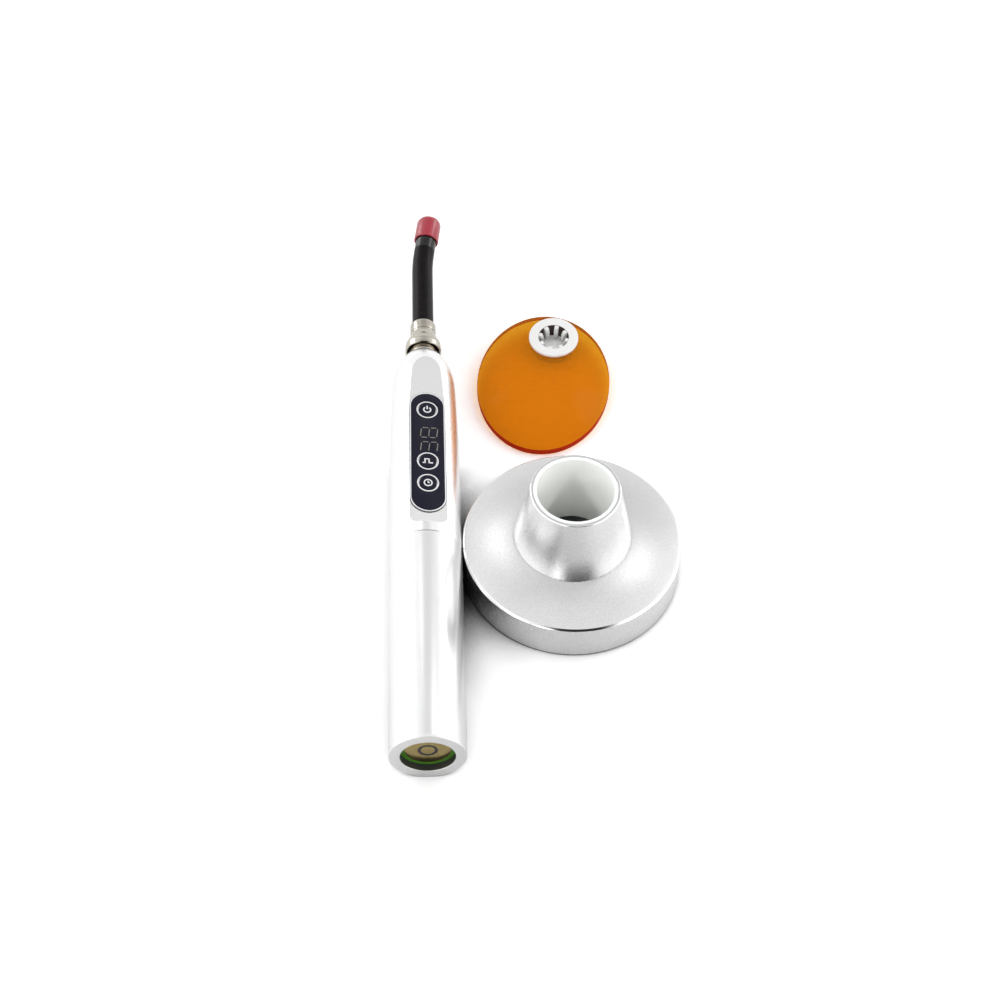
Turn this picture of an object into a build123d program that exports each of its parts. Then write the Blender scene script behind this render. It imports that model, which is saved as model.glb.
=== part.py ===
from build123d import *
import os
from math import atan, cos, degrees, radians, sin

# Dental curing light: a pen-shaped cordless wand lying beside its charging base, with its eye shield.
# Millimetres. Origin: middle of the base's underside, on the table. +Z up, +Y away from the viewer.
# The wand's pieces are drawn about their own axis: +Y runs from the rear end to the tip, +Z is the keypad side.

# Clearances
running_gap = 0.08  # on the radius, between pieces that turn or slide in each other
key_gap = 0.3  # round each key, and above its flange
socket_play = 0.45  # on the radius, between the wand's barrel and the socket
wand_gap = 0.15  # between the wand and the base, side by side

# Wand: barrel
wand_r = 13.5
tube_wall = 1.5
seam_at = 86.2  # middle of the groove between the rear tube and the front housing
seam_width = 0.6
seam_depth = 0.4
seam_chamfer = 0.3
joint_ring_wall = 1.2
joint_ring_rear = 10.2  # how far the joint ring reaches back from the seam
joint_ring_front = 3.6

# Wand: contact end
end_flange = 1.2
end_ring_length = 7.0
end_chamfer = 0.35
recess_r = 9.57
recess_depth = 2.8
contact_board_r = 10.6
board_thickness = 1.6
pad_thickness = 0.15
pad_ring_r = 8.0
pad_gap_r = 3.5  # outside of the black ring between the two pads
pad_centre_r = 2.45
retainer_wall = 1.0

# Wand: battery
cell_r = 9.2
cell_length = 65.0
cell_at = 12.0
cell_nub_r = 2.8
cell_nub = 1.2
sleeve_gap = 0.1
sleeve_start = 9.0
spring_wire_r = 0.4
spring_turns = 3
spring_large_r = 6.5
spring_small_r = 3.6
contact_disc_thickness = 1.6
contact_head_r = 4.0
contact_head = 0.8
contact_stem_r = 1.6
contact_stem = 3.4

# Wand: front housing, an ogive that ends in a flat rim round the neck
housing_shoulder = 105.0
housing_nose_at = 165.0
housing_nose_r = 12.3
housing_front = 181.0
housing_front_r = 7.0
cavity_mid_at = 140.0
cavity_mid_r = 11.6
cavity_taper_at = 160.0
cavity_taper_r = 11.0
cavity_nose_at = 170.0
cavity_nose_r = 9.1
cavity_front = 175.5
cavity_front_r = 7.6

# Wand: keypad
flat_height = 10.9  # flat of the keypad pocket above the wand's axis
flat_wall = 1.5
pocket_start = 90.4
pocket_half_width = 7.0
pocket_corner_r = 3.5
overlay_start = 96.3
overlay_length = 57.6
overlay_half_width = 6.9
overlay_thickness = 0.4
power_inset = 8.7  # from the film's front end to each key
mode_inset = 33.8
timer_inset = 44.15
key_r = 3.25
key_proud = 0.1
key_flange = 0.85
key_flange_thickness = 0.5
key_travel = 0.3
key_tip_r = 1.2
key_tip = 0.15
switch_size = 5.0
switch_body = 1.1
switch_button_r = 1.4
switch_button = 0.4
switch_clear = 0.05  # left under a key's tip at the end of its travel
keypad_board_thickness = 1.2
keypad_board_half_width = 7.8
keypad_board_start = 94.0
keypad_board_end = 152.6
display_inset = 29.1  # from the film's front end to the display's rear
display_length = 13.0
display_width = 10.4
display_step = 1.0  # rim of the display's body round its face
display_recess = 0.1
display_play = 0.1  # round the display's face in its slot
keypad_screw_x = 5.8
keypad_screw_inset = 2.2
keypad_boss_r = 1.7
keypad_screw_r = 0.75
keypad_head_r = 1.4
keypad_head = 0.8
keypad_screw_end = 0.5
header_length = 10.0
header_width = 2.5
header_inset = 7.0
main_board_end = 150.0
main_board_half_width = 9.0

# Wand: lamp head
heat_sink_r = 9.2
heat_sink_start = 153.2
heat_sink_length = 10.2
fin_count = 3
fin_gap = 1.4
fin_depth = 2.2
led_board_r = 9.0
led_size = 5.0
led_base = 0.9
led_dome_r = 2.0
lens_barrel_wall = 1.1
lens_r = 5.9
lens_rear_r = 3.4
lens_gap = 0.3
lens_edge = 0.6
lens_crown = 0.8
neck_r = 5.6
neck_flange_r = 7.4
neck_flange = 1.5
neck_end = 190.5

# Light guide
guide_r = 4.25
guide_rear = 176.0
guide_cladding = 0.25
bend_start = 228.0
bend_r = 74.5
bend_angle = 10.0
bend_roll = 56.0  # the bend's plane is turned this far from the keypad side
cap_along = 5.1  # from the end of the bend to the cap's open end
ferrule_rear = 184.5
ferrule_rim_r = 7.2
ferrule_rim_flat = 2.0
ferrule_mouth_r = 6.6
ferrule_lip_r = 6.0
ferrule_lip = 1.2
ferrule_flare = 9.3  # from the ferrule's rear rim to the end of its bell
ferrule_r = 5.1
ferrule_front = 199.0
ferrule_round = 0.8
ferrule_groove_at = 193.9
ferrule_groove = 0.5
ferrule_groove_depth = 0.25
ferrule_step = 0.5  # between the neck's end and the step inside the ferrule
grip_ring_width = 1.4
grip_ring_wall = 0.65
grip_ring_side_gap = 0.1
grip_ring_split = 30.0

# Tip cap
cap_r = 5.05
cap_length = 11.8
cap_end_wall = 1.3
cap_end_gap = 0.3
cap_shoulder = 8.9
cap_round_r = 3.3
cap_slope_r = 1.3
cap_slope = 0.7
cap_nub = 0.25
cap_rim = 0.35

# Where the wand lies
wand_turn = 2.9  # degrees, about +Z
wand_level = 88.7  # the base's middle is level with this place along the wand
keypad_roll = 7.0  # degrees, towards +X

# Charging base
base_r = 40.4
skirt_lift = 0.6
skirt_top = 15.4
rim_bevel = 0.7
shell_wall = 2.2
skirt_edge = 1.6
dome_top = 19.7
dome_crown = 0.5
dome_land_r = 25.0
cavity_drop = 1.8  # the cavity's top is this far under the skirt's top edge, at the rim
tower_foot_r = 21.5
tower_top_r = 16.3
tower_top = 45.7
tower_round = 0.4
tower_undercut = 0.35
liner_wall = 1.15
liner_lip = 0.25
spigot_wall = 3.9
nut_r = 24.0
nut_height = 3.0
nut_notches = 4
notch_width = 3.5
notch_depth = 1.8
seat_z = 12.0  # the wand's end rests here when it is charged
block_floor = 3.2
cup_relief = 0.25  # the block's cup is wider than the socket
cup_clear = 0.1  # the cup's wall stands this far above the pins
boss_gap = 0.57
boss_clear = 0.8
clip_height = 1.0
clip_width = 1.6
clip_split = 40.0
spigot_tail = 0.8
pin_r = 0.9
pin_bevel = 0.4
pin_barrel_r = 1.35
pin_circle_r = 5.9
pin_travel = 1.2
pin_proud = 1.4
pin_floor = 0.8
pin_clear = 0.1  # left under a pin at the end of its travel
pad_edge = 11.0  # from the base's edge to the anti-slip pad
pad_height = 1.0
plate_thickness = 1.6
ballast_gap = 1.6
ballast_edge = 10.0  # from the base's edge to the weight
ballast_height = 5.0
ballast_notch = 26.0
screw_edge = 6.5  # from the base's edge to each screw
screw_count = 3
screw_first = 30.0
screw_boss_r = 3.0
screw_r = 1.25
screw_head_r = 2.6
screw_head = 1.4
screw_length = 9.0
jack_width = 9.0
jack_height = 7.0
jack_length = 12.6
jack_setback = 0.45
jack_bore_r = 2.8
jack_bore = 9.5
jack_pin_r = 1.0
jack_pin = 8.3
jack_hole_r = 3.4
jack_post = 1.6
jack_post_r = 1.8
jack_board_width = 16.0
jack_board_length = 12.4
jack_board_setback = 0.9
jack_post_inset = 2.4

# Eye shield
shield_half_width = 26.5
shield_half_length = 34.2
shield_thickness = 3.0
shield_x = -10.5
shield_y = 87.0
shield_turn = -4.9
hub_along = 22.9
hub_side = 2.1
hub_r = 10.1
hub_flange = 1.0
hub_mouth_r = 5.8
hub_sleeve_r = 7.5
hub_sleeve_wall = 0.9
hub_drop = 2.5
lock_ring_r = 9.2
finger_count = 8
finger_width = 1.5
finger_grip_r = 4.2
finger_grip = 1.5
finger_lean = 1.0
finger_first = -8.0
slot_width = 3.3
slot_depth = 3.3
slot_end = 0.2  # below the disc's top
finger_root = 0.2  # the fingers run into the sleeve
finger_sink = 0.5  # below the hub's top
hub_web = 0.3
edge_round = 0.3

# Derived places
tube_bore_r = wand_r - tube_wall
tube_front = seam_at - seam_width / 2
housing_rear = seam_at + seam_width / 2
joint_bore_r = tube_bore_r - joint_ring_wall
joint_rear = seam_at - joint_ring_rear
joint_front = seam_at + joint_ring_front
board_face = recess_depth
board_back = recess_depth + board_thickness
cell_end = cell_at + cell_length
contact_front = cell_end + cell_nub
contact_disc_at = contact_front + contact_head + contact_stem
contact_disc_front = contact_disc_at + contact_disc_thickness
flat_underside = flat_height - flat_wall
overlay_top = flat_height + overlay_thickness
key_top = overlay_top + key_proud
key_hole_r = key_r + key_gap
key_flange_top = flat_underside - key_gap
key_bottom = key_flange_top - key_flange_thickness
switch_top = key_bottom - key_tip - key_travel - switch_clear
keypad_board_top = switch_top - switch_button - switch_body
keypad_board_bottom = keypad_board_top - keypad_board_thickness
overlay_end = overlay_start + overlay_length
power_at = overlay_end - power_inset
mode_at = overlay_end - mode_inset
timer_at = overlay_end - timer_inset
display_start = overlay_end - display_inset
key_places = {"key_power": power_at, "key_mode": mode_at, "key_timer": timer_at}
heat_sink_end = heat_sink_start + heat_sink_length
led_board_front = heat_sink_end + board_thickness
neck_rear = cavity_front - neck_flange
guide_bore_r = guide_r + running_gap
socket_r = wand_r + socket_play
tower_bore_r = socket_r + liner_wall
spigot_r = tower_bore_r + spigot_wall
block_bottom = seat_z - block_floor
charge_board_bottom = block_bottom - board_thickness
clip_bottom = charge_board_bottom - clip_height
spigot_bottom = clip_bottom - spigot_tail
block_top = seat_z + recess_depth - boss_clear
cup_r = socket_r + cup_relief
cup_top = block_top + pin_proud + cup_clear
plate_bottom = pad_height
plate_top = plate_bottom + plate_thickness
plate_r = base_r - skirt_edge
pad_r = base_r - pad_edge
ballast_r = base_r - ballast_edge
screw_circle_r = base_r - screw_edge
dome_underside = dome_top - shell_wall
jack_front = base_r - shell_wall - jack_setback
jack_board_bottom = plate_top + jack_post
jack_board_top = jack_board_bottom + board_thickness
jack_z = jack_board_top + jack_height / 2
shield_tilt = degrees(atan(hub_drop / (shield_half_length + hub_along - lock_ring_r)))

# The wand lies beside the base, on the table, with its keypad rolled a little towards the viewer's right.
wand_axis = Rot(0, 0, wand_turn) * Pos(-(base_r + wand_r + wand_gap), -wand_level, wand_r)
wand_place = wand_axis * Rot(0, keypad_roll, 0)
guide_place = wand_axis * Rot(0, bend_roll, 0)
shield_rise = shield_half_length * sin(radians(shield_tilt))
shield_place = Pos(shield_x, shield_y, shield_rise) * Rot(0, 0, shield_turn) * Rot(shield_tilt, 0, 0)


def save(node, shape):
    """Write one named piece."""
    export_step(shape, "parts/" + node + ".step")


def turned(outline):
    """A piece of the wand turned on its axis, from (place along the axis, radius) points."""
    points = [(radius, along) for along, radius in outline]
    return revolve(make_face(Polyline(*points, close=True)), axis=Axis.Y)


def upright(outline):
    """A piece of the base turned about +Z, from (radius, height) points."""
    return revolve(Plane.XZ * make_face(Polyline(*outline, close=True)), axis=Axis.Z)


def disc(radius, low, high):
    """An upright round solid."""
    return Pos(0, 0, low) * extrude(Circle(radius), amount=high - low)


def block(size_x, size_y, low, high):
    """An upright rectangular solid."""
    return Pos(0, 0, low) * extrude(Rectangle(size_x, size_y), amount=high - low)


def crown_radius(half_width, height):
    """Radius of a round crown of this half width and height."""
    return (half_width**2 + height**2) / (2 * height)


def s_curve(start, end):
    """Two equal arcs, along +Y at both ends, as edges."""
    middle = ((start[0] + end[0]) / 2, (start[1] + end[1]) / 2)
    first = TangentArc(start, middle, tangent=(0, 1))
    second = TangentArc(end, middle, tangent=(0, -1))
    return [first, second]


def around(count, radius, first=0.0):
    """Evenly spaced places on an upright circle."""
    return [Rot(0, 0, first + 360 * i / count) * Pos(radius, 0, 0) for i in range(count)]


def group(pieces):
    """Separate solids that share one node."""
    return Compound([piece.solid() for piece in pieces])


# Wand: rear tube, its contact end and the battery


def battery_tube():
    return turned([
        (end_flange, tube_bore_r), (end_flange, wand_r), (tube_front - seam_chamfer, wand_r),
        (tube_front, wand_r - seam_chamfer), (tube_front, tube_bore_r),
    ])


def end_ring():
    return turned([
        (0, recess_r), (0, wand_r - end_chamfer), (end_chamfer, wand_r), (end_flange, wand_r),
        (end_flange, tube_bore_r), (end_ring_length, tube_bore_r), (end_ring_length, contact_board_r),
        (board_face, contact_board_r), (board_face, recess_r),
    ])


def contact_board():
    return turned([(board_face, 0), (board_face, contact_board_r), (board_back, contact_board_r), (board_back, 0)])


def contact_pad(inner, outer):
    front = board_face - pad_thickness
    return turned([(front, inner), (front, outer), (board_face, outer), (board_face, inner)])


def board_retainer():
    inner = contact_board_r - retainer_wall
    return turned([
        (board_back, inner), (board_back, contact_board_r),
        (end_ring_length, contact_board_r), (end_ring_length, inner),
    ])


def battery_spring():
    """Conical coil between the contact board and the cell's flat end."""
    height = cell_at - board_back - 2 * spring_wire_r
    cone = degrees(atan((spring_large_r - spring_small_r) / height))
    path = Helix(height / spring_turns, height, spring_large_r, cone_angle=-cone)
    wire = Plane(path @ 0, z_dir=path % 0) * RegularPolygon(spring_wire_r, 5)
    coil = sweep(wire, path=path, is_frenet=True)
    return Pos(0, board_back + spring_wire_r, 0) * Rot(-90, 0, 0) * coil


def battery_sleeve():
    inner = cell_r + sleeve_gap
    return turned([
        (sleeve_start, inner), (sleeve_start, tube_bore_r), (joint_rear, tube_bore_r), (joint_rear, inner),
    ])


def battery_cell():
    return turned([
        (cell_at, 0), (cell_at, cell_r), (cell_end, cell_r), (cell_end, cell_nub_r),
        (contact_front, cell_nub_r), (contact_front, 0),
    ])


def front_contact():
    head_end = contact_front + contact_head
    return turned([
        (contact_front, 0), (contact_front, contact_head_r), (head_end, contact_head_r),
        (head_end, contact_stem_r), (contact_disc_front, contact_stem_r), (contact_disc_front, 0),
    ])


def contact_disc():
    return turned([
        (contact_disc_at, contact_stem_r), (contact_disc_at, joint_bore_r),
        (contact_disc_front, joint_bore_r), (contact_disc_front, contact_stem_r),
    ])


def joint_ring():
    """Threaded ring that joins the tube and the housing, seen as the floor of the seam."""
    band_r = wand_r - seam_depth
    return turned([
        (joint_rear, joint_bore_r), (joint_rear, tube_bore_r), (tube_front, tube_bore_r),
        (tube_front, band_r), (housing_rear, band_r), (housing_rear, tube_bore_r),
        (joint_front, tube_bore_r), (joint_front, joint_bore_r),
    ])


# Wand: front housing


def housing_outside():
    """The ogive: a straight rear, a long shallow arc, then a tighter arc to the nose."""
    long_arc = TangentArc((wand_r, housing_shoulder), (housing_nose_r, housing_nose_at), tangent=(0, 1))
    nose_arc = TangentArc(
        (housing_nose_r, housing_nose_at), (housing_front_r, housing_front), tangent=long_arc % 1
    )
    edges = [
        Line((0, housing_rear), (wand_r - seam_chamfer, housing_rear)),
        Line((wand_r - seam_chamfer, housing_rear), (wand_r, housing_rear + seam_chamfer)),
        Line((wand_r, housing_rear + seam_chamfer), (wand_r, housing_shoulder)),
        long_arc,
        nose_arc,
        Line((housing_front_r, housing_front), (0, housing_front)),
        Line((0, housing_front), (0, housing_rear)),
    ]
    return revolve(make_face(edges), axis=Axis.Y)


def housing_cavity():
    """Inside of the housing, with a flat roof under the keypad."""
    bore = turned([
        (joint_front, 0), (joint_front, tube_bore_r), (cavity_mid_at, cavity_mid_r),
        (cavity_taper_at, cavity_taper_r), (cavity_nose_at, cavity_nose_r),
        (cavity_front, cavity_front_r), (cavity_front, 0),
    ])
    length = cavity_front - joint_front
    below_roof = Pos(0, joint_front + length / 2, 0) * block(2 * wand_r, length, -wand_r, flat_underside)
    seat = turned([(housing_rear, 0), (housing_rear, tube_bore_r), (joint_front, tube_bore_r), (joint_front, 0)])
    return (bore & below_roof) + seat


def keypad_pocket():
    """Milled pocket that runs out through the ogive as a pointed arch."""
    length = housing_front - pocket_start
    outline = Pos(0, pocket_start + length / 2) * Rectangle(2 * pocket_half_width, length)
    corners = outline.vertices().group_by(Axis.Y)[0]
    return Pos(0, 0, flat_height) * extrude(fillet(corners, pocket_corner_r), amount=wand_r)


def keypad_screw_places():
    """Two opposite corners of the keypad board."""
    rear = Pos(-keypad_screw_x, keypad_board_start + keypad_screw_inset, 0)
    front = Pos(keypad_screw_x, keypad_board_end - keypad_screw_inset, 0)
    return [rear, front]


def display_face_size():
    return display_width - 2 * display_step, display_length - 2 * display_step


def display_middle():
    return Pos(0, display_start + display_length / 2, 0)


def front_housing():
    face_width, face_length = display_face_size()
    body = housing_outside() - housing_cavity() - keypad_pocket()
    for place in keypad_screw_places():
        body += place * disc(keypad_boss_r, keypad_board_top, flat_underside + flat_wall / 2)
        body -= place * disc(keypad_screw_r, keypad_board_top, flat_underside - keypad_screw_end)
    for along in key_places.values():
        body -= Pos(0, along, 0) * disc(key_hole_r, flat_underside, flat_height)
    body -= display_middle() * block(face_width, face_length, flat_underside, flat_height)
    body -= turned([(cavity_front, 0), (cavity_front, neck_r), (housing_front, neck_r), (housing_front, 0)])
    return body


def keypad_overlay():
    """Printed film, a stadium with a hole for each key."""
    middle = overlay_start + overlay_length / 2
    film = Pos(0, middle) * Rot(0, 0, 90) * SlotOverall(overlay_length, 2 * overlay_half_width)
    film = Pos(0, 0, flat_height) * extrude(film, amount=overlay_thickness)
    for along in key_places.values():
        film -= Pos(0, along, 0) * disc(key_hole_r, flat_height, overlay_top)
    return film


def key(along):
    """Round key with a flange that keeps it in, and a tip over its switch."""
    flange_r = key_hole_r + key_flange - key_gap
    shape = disc(key_r, key_flange_top, key_top)
    shape += disc(flange_r, key_bottom, key_flange_top)
    shape += disc(key_tip_r, key_bottom - key_tip, key_bottom)
    return Pos(0, along, 0) * shape


def tact_switches():
    shell_top = keypad_board_top + switch_body
    switch = block(switch_size, switch_size, keypad_board_top, shell_top)
    switch += disc(switch_button_r, shell_top, switch_top)
    return group([Pos(0, along, 0) * switch for along in key_places.values()])


def keypad_board():
    length = keypad_board_end - keypad_board_start
    middle = keypad_board_start + length / 2
    board = Pos(0, middle, 0) * block(
        2 * keypad_board_half_width, length, keypad_board_bottom, keypad_board_top
    )
    for place in keypad_screw_places():
        board -= place * disc(keypad_screw_r, keypad_board_bottom, keypad_board_top)
    return board


def keypad_screws():
    screw = disc(keypad_head_r, keypad_board_bottom - keypad_head, keypad_board_bottom)
    screw += disc(keypad_screw_r, keypad_board_bottom, flat_underside - keypad_screw_end)
    return group([place * screw for place in keypad_screw_places()])


def display_module():
    """Two-digit display: its face looks through the film, its body lies on the keypad board."""
    face_width, face_length = display_face_size()
    body_top = flat_underside - display_recess
    body = block(display_width, display_length, keypad_board_top, body_top)
    body += block(
        face_width - 2 * display_play, face_length - 2 * display_play, body_top, flat_height - display_recess
    )
    return display_middle() * body


def board_headers():
    rows = (keypad_board_start + header_inset, main_board_end - header_inset)
    top = board_thickness / 2
    pillar = block(header_length, header_width, top, keypad_board_bottom)
    return group([Pos(0, row, 0) * pillar for row in rows])


def main_board():
    length = main_board_end - contact_disc_front
    middle = contact_disc_front + length / 2
    half = board_thickness / 2
    return Pos(0, middle, 0) * block(2 * main_board_half_width, length, -half, half)


# Wand: lamp head


def heat_sink():
    """Round aluminium slug with turned cooling fins."""
    slug = turned([
        (heat_sink_start, 0), (heat_sink_start, heat_sink_r), (heat_sink_end, heat_sink_r), (heat_sink_end, 0),
    ])
    pitch = heat_sink_length / (fin_count + 1)
    root_r = heat_sink_r - fin_depth
    for i in range(fin_count):
        start = heat_sink_start + pitch * (i + 1) - fin_gap / 2
        end = start + fin_gap
        slug -= turned([(start, root_r), (start, wand_r), (end, wand_r), (end, root_r)])
    return slug


def led_board():
    return turned([
        (heat_sink_end, 0), (heat_sink_end, led_board_r), (led_board_front, led_board_r), (led_board_front, 0),
    ])


def led_emitter():
    base_front = led_board_front + led_base
    base = Rot(-90, 0, 0) * block(led_size, led_size, led_board_front, base_front)
    dome = make_face([
        Line((0, base_front), (led_dome_r, base_front)),
        RadiusArc((led_dome_r, base_front), (0, base_front + led_dome_r), -led_dome_r),
        Line((0, base_front + led_dome_r), (0, base_front)),
    ])
    return base + revolve(dome, axis=Axis.Y)


def lens_barrel():
    outer = lens_r + lens_barrel_wall
    return turned([(led_board_front, lens_r), (led_board_front, outer), (neck_rear, outer), (neck_rear, lens_r)])


def lens():
    """Collimator lens: a cone with a crowned front face."""
    rear = led_board_front + led_base + led_dome_r + lens_gap
    front = neck_rear - lens_crown - lens_gap
    face = make_face([
        Line((0, rear), (lens_rear_r, rear)),
        Line((lens_rear_r, rear), (lens_r, front - lens_edge)),
        Line((lens_r, front - lens_edge), (lens_r, front)),
        RadiusArc((lens_r, front), (0, front + lens_crown), -crown_radius(lens_r, lens_crown)),
        Line((0, front + lens_crown), (0, rear)),
    ])
    return revolve(face, axis=Axis.Y)


def neck():
    """Polished neck that the light guide plugs into."""
    return turned([
        (neck_rear, guide_bore_r), (neck_rear, neck_flange_r), (cavity_front, neck_flange_r),
        (cavity_front, neck_r), (neck_end - edge_round, neck_r), (neck_end, neck_r - edge_round),
        (neck_end, guide_bore_r),
    ])


# Light guide


def grip_ring():
    """Split ring inside the ferrule that grips the neck."""
    inner = neck_r + running_gap
    start = ferrule_rear + ferrule_rim_flat + grip_ring_side_gap
    end = start + grip_ring_width
    outer = inner + grip_ring_wall
    ring = turned([(start, inner), (start, outer), (end, outer), (end, inner)])
    middle = (start + end) / 2
    slot = 2 * outer * sin(radians(grip_ring_split / 2))
    return ring - Pos(0, middle, outer) * Box(slot, 2 * grip_ring_width, 2 * outer)


def guide_ferrule():
    """Bell-shaped ferrule: an open skirt over the neck, a flare, a groove and a plain collar."""
    groove_start = ferrule_rear + ferrule_rim_flat
    groove_end = groove_start + grip_ring_width + 2 * grip_ring_side_gap
    groove_r = neck_r + grip_ring_wall + 2 * running_gap
    bore_r = neck_r + running_gap
    step_at = neck_end + ferrule_step
    flare_end = ferrule_rear + ferrule_flare
    collar_groove_r = ferrule_r - ferrule_groove_depth
    outline = [
        Line((ferrule_mouth_r, ferrule_rear), (ferrule_rim_r, ferrule_rear)),
        Line((ferrule_rim_r, ferrule_rear), (ferrule_rim_r, ferrule_rear + ferrule_rim_flat)),
        *s_curve((ferrule_rim_r, ferrule_rear + ferrule_rim_flat), (ferrule_r, flare_end)),
        Line((ferrule_r, flare_end), (ferrule_r, ferrule_front - ferrule_round)),
        Line((ferrule_r, ferrule_front - ferrule_round), (ferrule_r - ferrule_round, ferrule_front)),
        Line((ferrule_r - ferrule_round, ferrule_front), (guide_r, ferrule_front)),
        Line((guide_r, ferrule_front), (guide_r, step_at)),
        Line((guide_r, step_at), (bore_r, step_at)),
        Line((bore_r, step_at), (bore_r, groove_end)),
        Line((bore_r, groove_end), (groove_r, groove_end)),
        Line((groove_r, groove_end), (groove_r, groove_start)),
        Line((groove_r, groove_start), (ferrule_lip_r, groove_start)),
        Line((ferrule_lip_r, groove_start), (ferrule_lip_r, groove_start - ferrule_lip)),
        Line((ferrule_lip_r, groove_start - ferrule_lip), (ferrule_mouth_r, ferrule_rear)),
    ]
    bell = revolve(make_face(outline), axis=Axis.Y)
    end = ferrule_groove_at + ferrule_groove
    return bell - turned([
        (ferrule_groove_at, collar_groove_r), (ferrule_groove_at, ferrule_rim_r),
        (end, ferrule_rim_r), (end, collar_groove_r),
    ])


def guide_path(end_gap):
    """Straight, one gentle bend, then straight to the tip, in the plane of the bend."""
    turn = radians(bend_angle)
    bend_end = (0, bend_start + bend_r * sin(turn), bend_r * (1 - cos(turn)))
    straight = cap_along + cap_length - cap_end_wall - end_gap
    tip = (0, bend_end[1] + straight * cos(turn), bend_end[2] + straight * sin(turn))
    half = turn / 2
    bend_mid = (0, bend_start + bend_r * sin(half), bend_r * (1 - cos(half)))
    return [
        Line((0, guide_rear, 0), (0, bend_start, 0)),
        ThreePointArc((0, bend_start, 0), bend_mid, bend_end),
        Line(bend_end, tip),
    ]


def along_guide(radius, end_gap):
    path = Wire(guide_path(end_gap))
    start = Plane(origin=(0, guide_rear, 0), x_dir=(1, 0, 0), z_dir=(0, 1, 0))
    return sweep(start * Circle(radius), path=path)


def guide_sheath():
    return along_guide(guide_r, cap_end_gap) - along_guide(guide_r - guide_cladding, cap_end_gap)


def guide_core():
    return along_guide(guide_r - guide_cladding, cap_end_gap)


def cap_frame():
    """Place of the cap's open end, with +Y along the tip."""
    turn = radians(bend_angle)
    bend_y = bend_start + bend_r * sin(turn)
    bend_z = bend_r * (1 - cos(turn))
    return Pos(0, bend_y + cap_along * cos(turn), bend_z + cap_along * sin(turn)) * Rot(bend_angle, 0, 0)


def tip_cap():
    """Soft cap with a rounded shoulder and a low nub in the middle of its end."""
    bore_end = cap_length - cap_end_wall
    cap_round_at = cap_length - cap_nub - cap_slope
    face = make_face([
        Line((guide_bore_r, 0), (cap_r - cap_rim, 0)),
        Line((cap_r - cap_rim, 0), (cap_r, cap_rim)),
        Line((cap_r, cap_rim), (cap_r, cap_shoulder)),
        TangentArc((cap_r, cap_shoulder), (cap_round_r, cap_round_at), tangent=(0, 1)),
        Line((cap_round_r, cap_round_at), (cap_slope_r, cap_length - cap_nub)),
        RadiusArc(
            (cap_slope_r, cap_length - cap_nub), (0, cap_length), -crown_radius(cap_slope_r, cap_nub)
        ),
        Line((0, cap_length), (0, bore_end)),
        Line((0, bore_end), (guide_bore_r, bore_end)),
        Line((guide_bore_r, bore_end), (guide_bore_r, 0)),
    ])
    return cap_frame() * revolve(face, axis=Axis.Y)


# Charging base


def screw_places():
    return around(screw_count, screw_circle_r, screw_first)


def base_screw():
    """Countersunk screw from below, its head flush with the plate."""
    return upright([
        (0, plate_bottom), (screw_head_r, plate_bottom), (screw_r, plate_bottom + screw_head),
        (screw_r, plate_bottom + screw_length), (0, plate_bottom + screw_length),
    ])


def base_shell():
    """Dome and skirt in one turned shell, with a bevelled rim and screw bosses inside."""
    rim_r = base_r - rim_bevel
    rim_top = skirt_top + rim_bevel
    mid_r = (rim_r + tower_foot_r) / 2
    mid_z = (rim_top + dome_top) / 2 + dome_crown
    inner_r = base_r - shell_wall
    face = make_face([
        Line((spigot_r, dome_underside), (spigot_r, dome_top)),
        Line((spigot_r, dome_top), (tower_foot_r, dome_top)),
        ThreePointArc((tower_foot_r, dome_top), (mid_r, mid_z), (rim_r, rim_top)),
        Line((rim_r, rim_top), (base_r, skirt_top)),
        Line((base_r, skirt_top), (base_r, skirt_lift + edge_round)),
        Line((base_r, skirt_lift + edge_round), (base_r - edge_round, skirt_lift)),
        Line((base_r - edge_round, skirt_lift), (plate_r, skirt_lift)),
        Line((plate_r, skirt_lift), (plate_r, plate_top)),
        Line((plate_r, plate_top), (inner_r, plate_top)),
        Line((inner_r, plate_top), (inner_r, skirt_top - cavity_drop)),
        Line((inner_r, skirt_top - cavity_drop), (dome_land_r, dome_underside)),
        Line((dome_land_r, dome_underside), (spigot_r, dome_underside)),
    ])
    shell = revolve(Plane.XZ * face, axis=Axis.Z)
    for place in screw_places():
        shell += place * disc(screw_boss_r, plate_top, skirt_top)
        shell -= place * disc(screw_r, plate_top, plate_bottom + screw_length)
    hole = Plane(origin=(0, jack_front, jack_z), z_dir=(0, 1, 0)) * Circle(jack_hole_r)
    return shell - extrude(hole, amount=base_r)


def tower_cone():
    """Turned socket tower: a cone with a straight bore and a threaded spigot through the dome."""
    foot = dome_top + tower_undercut
    face = make_face([
        Line((tower_bore_r, spigot_bottom), (spigot_r, spigot_bottom)),
        Line((spigot_r, spigot_bottom), (spigot_r, dome_top)),
        Line((spigot_r, dome_top), (tower_foot_r - tower_undercut, dome_top)),
        Line((tower_foot_r - tower_undercut, dome_top), (tower_foot_r, foot)),
        Line((tower_foot_r, foot), (tower_top_r, tower_top - tower_round)),
        RadiusArc(
            (tower_top_r, tower_top - tower_round), (tower_top_r - tower_round, tower_top), -tower_round
        ),
        Line((tower_top_r - tower_round, tower_top), (tower_bore_r, tower_top)),
        Line((tower_bore_r, tower_top), (tower_bore_r, spigot_bottom)),
    ])
    return revolve(Plane.XZ * face, axis=Axis.Z)


def tower_nut():
    """Round nut with spanner notches, tight against the dome from inside."""
    low = dome_underside - nut_height
    nut = disc(nut_r, low, dome_underside) - disc(spigot_r, low, dome_underside)
    notch = block(2 * notch_depth, notch_width, low, dome_underside)
    for place in around(nut_notches, nut_r):
        nut -= place * notch
    return nut


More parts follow.
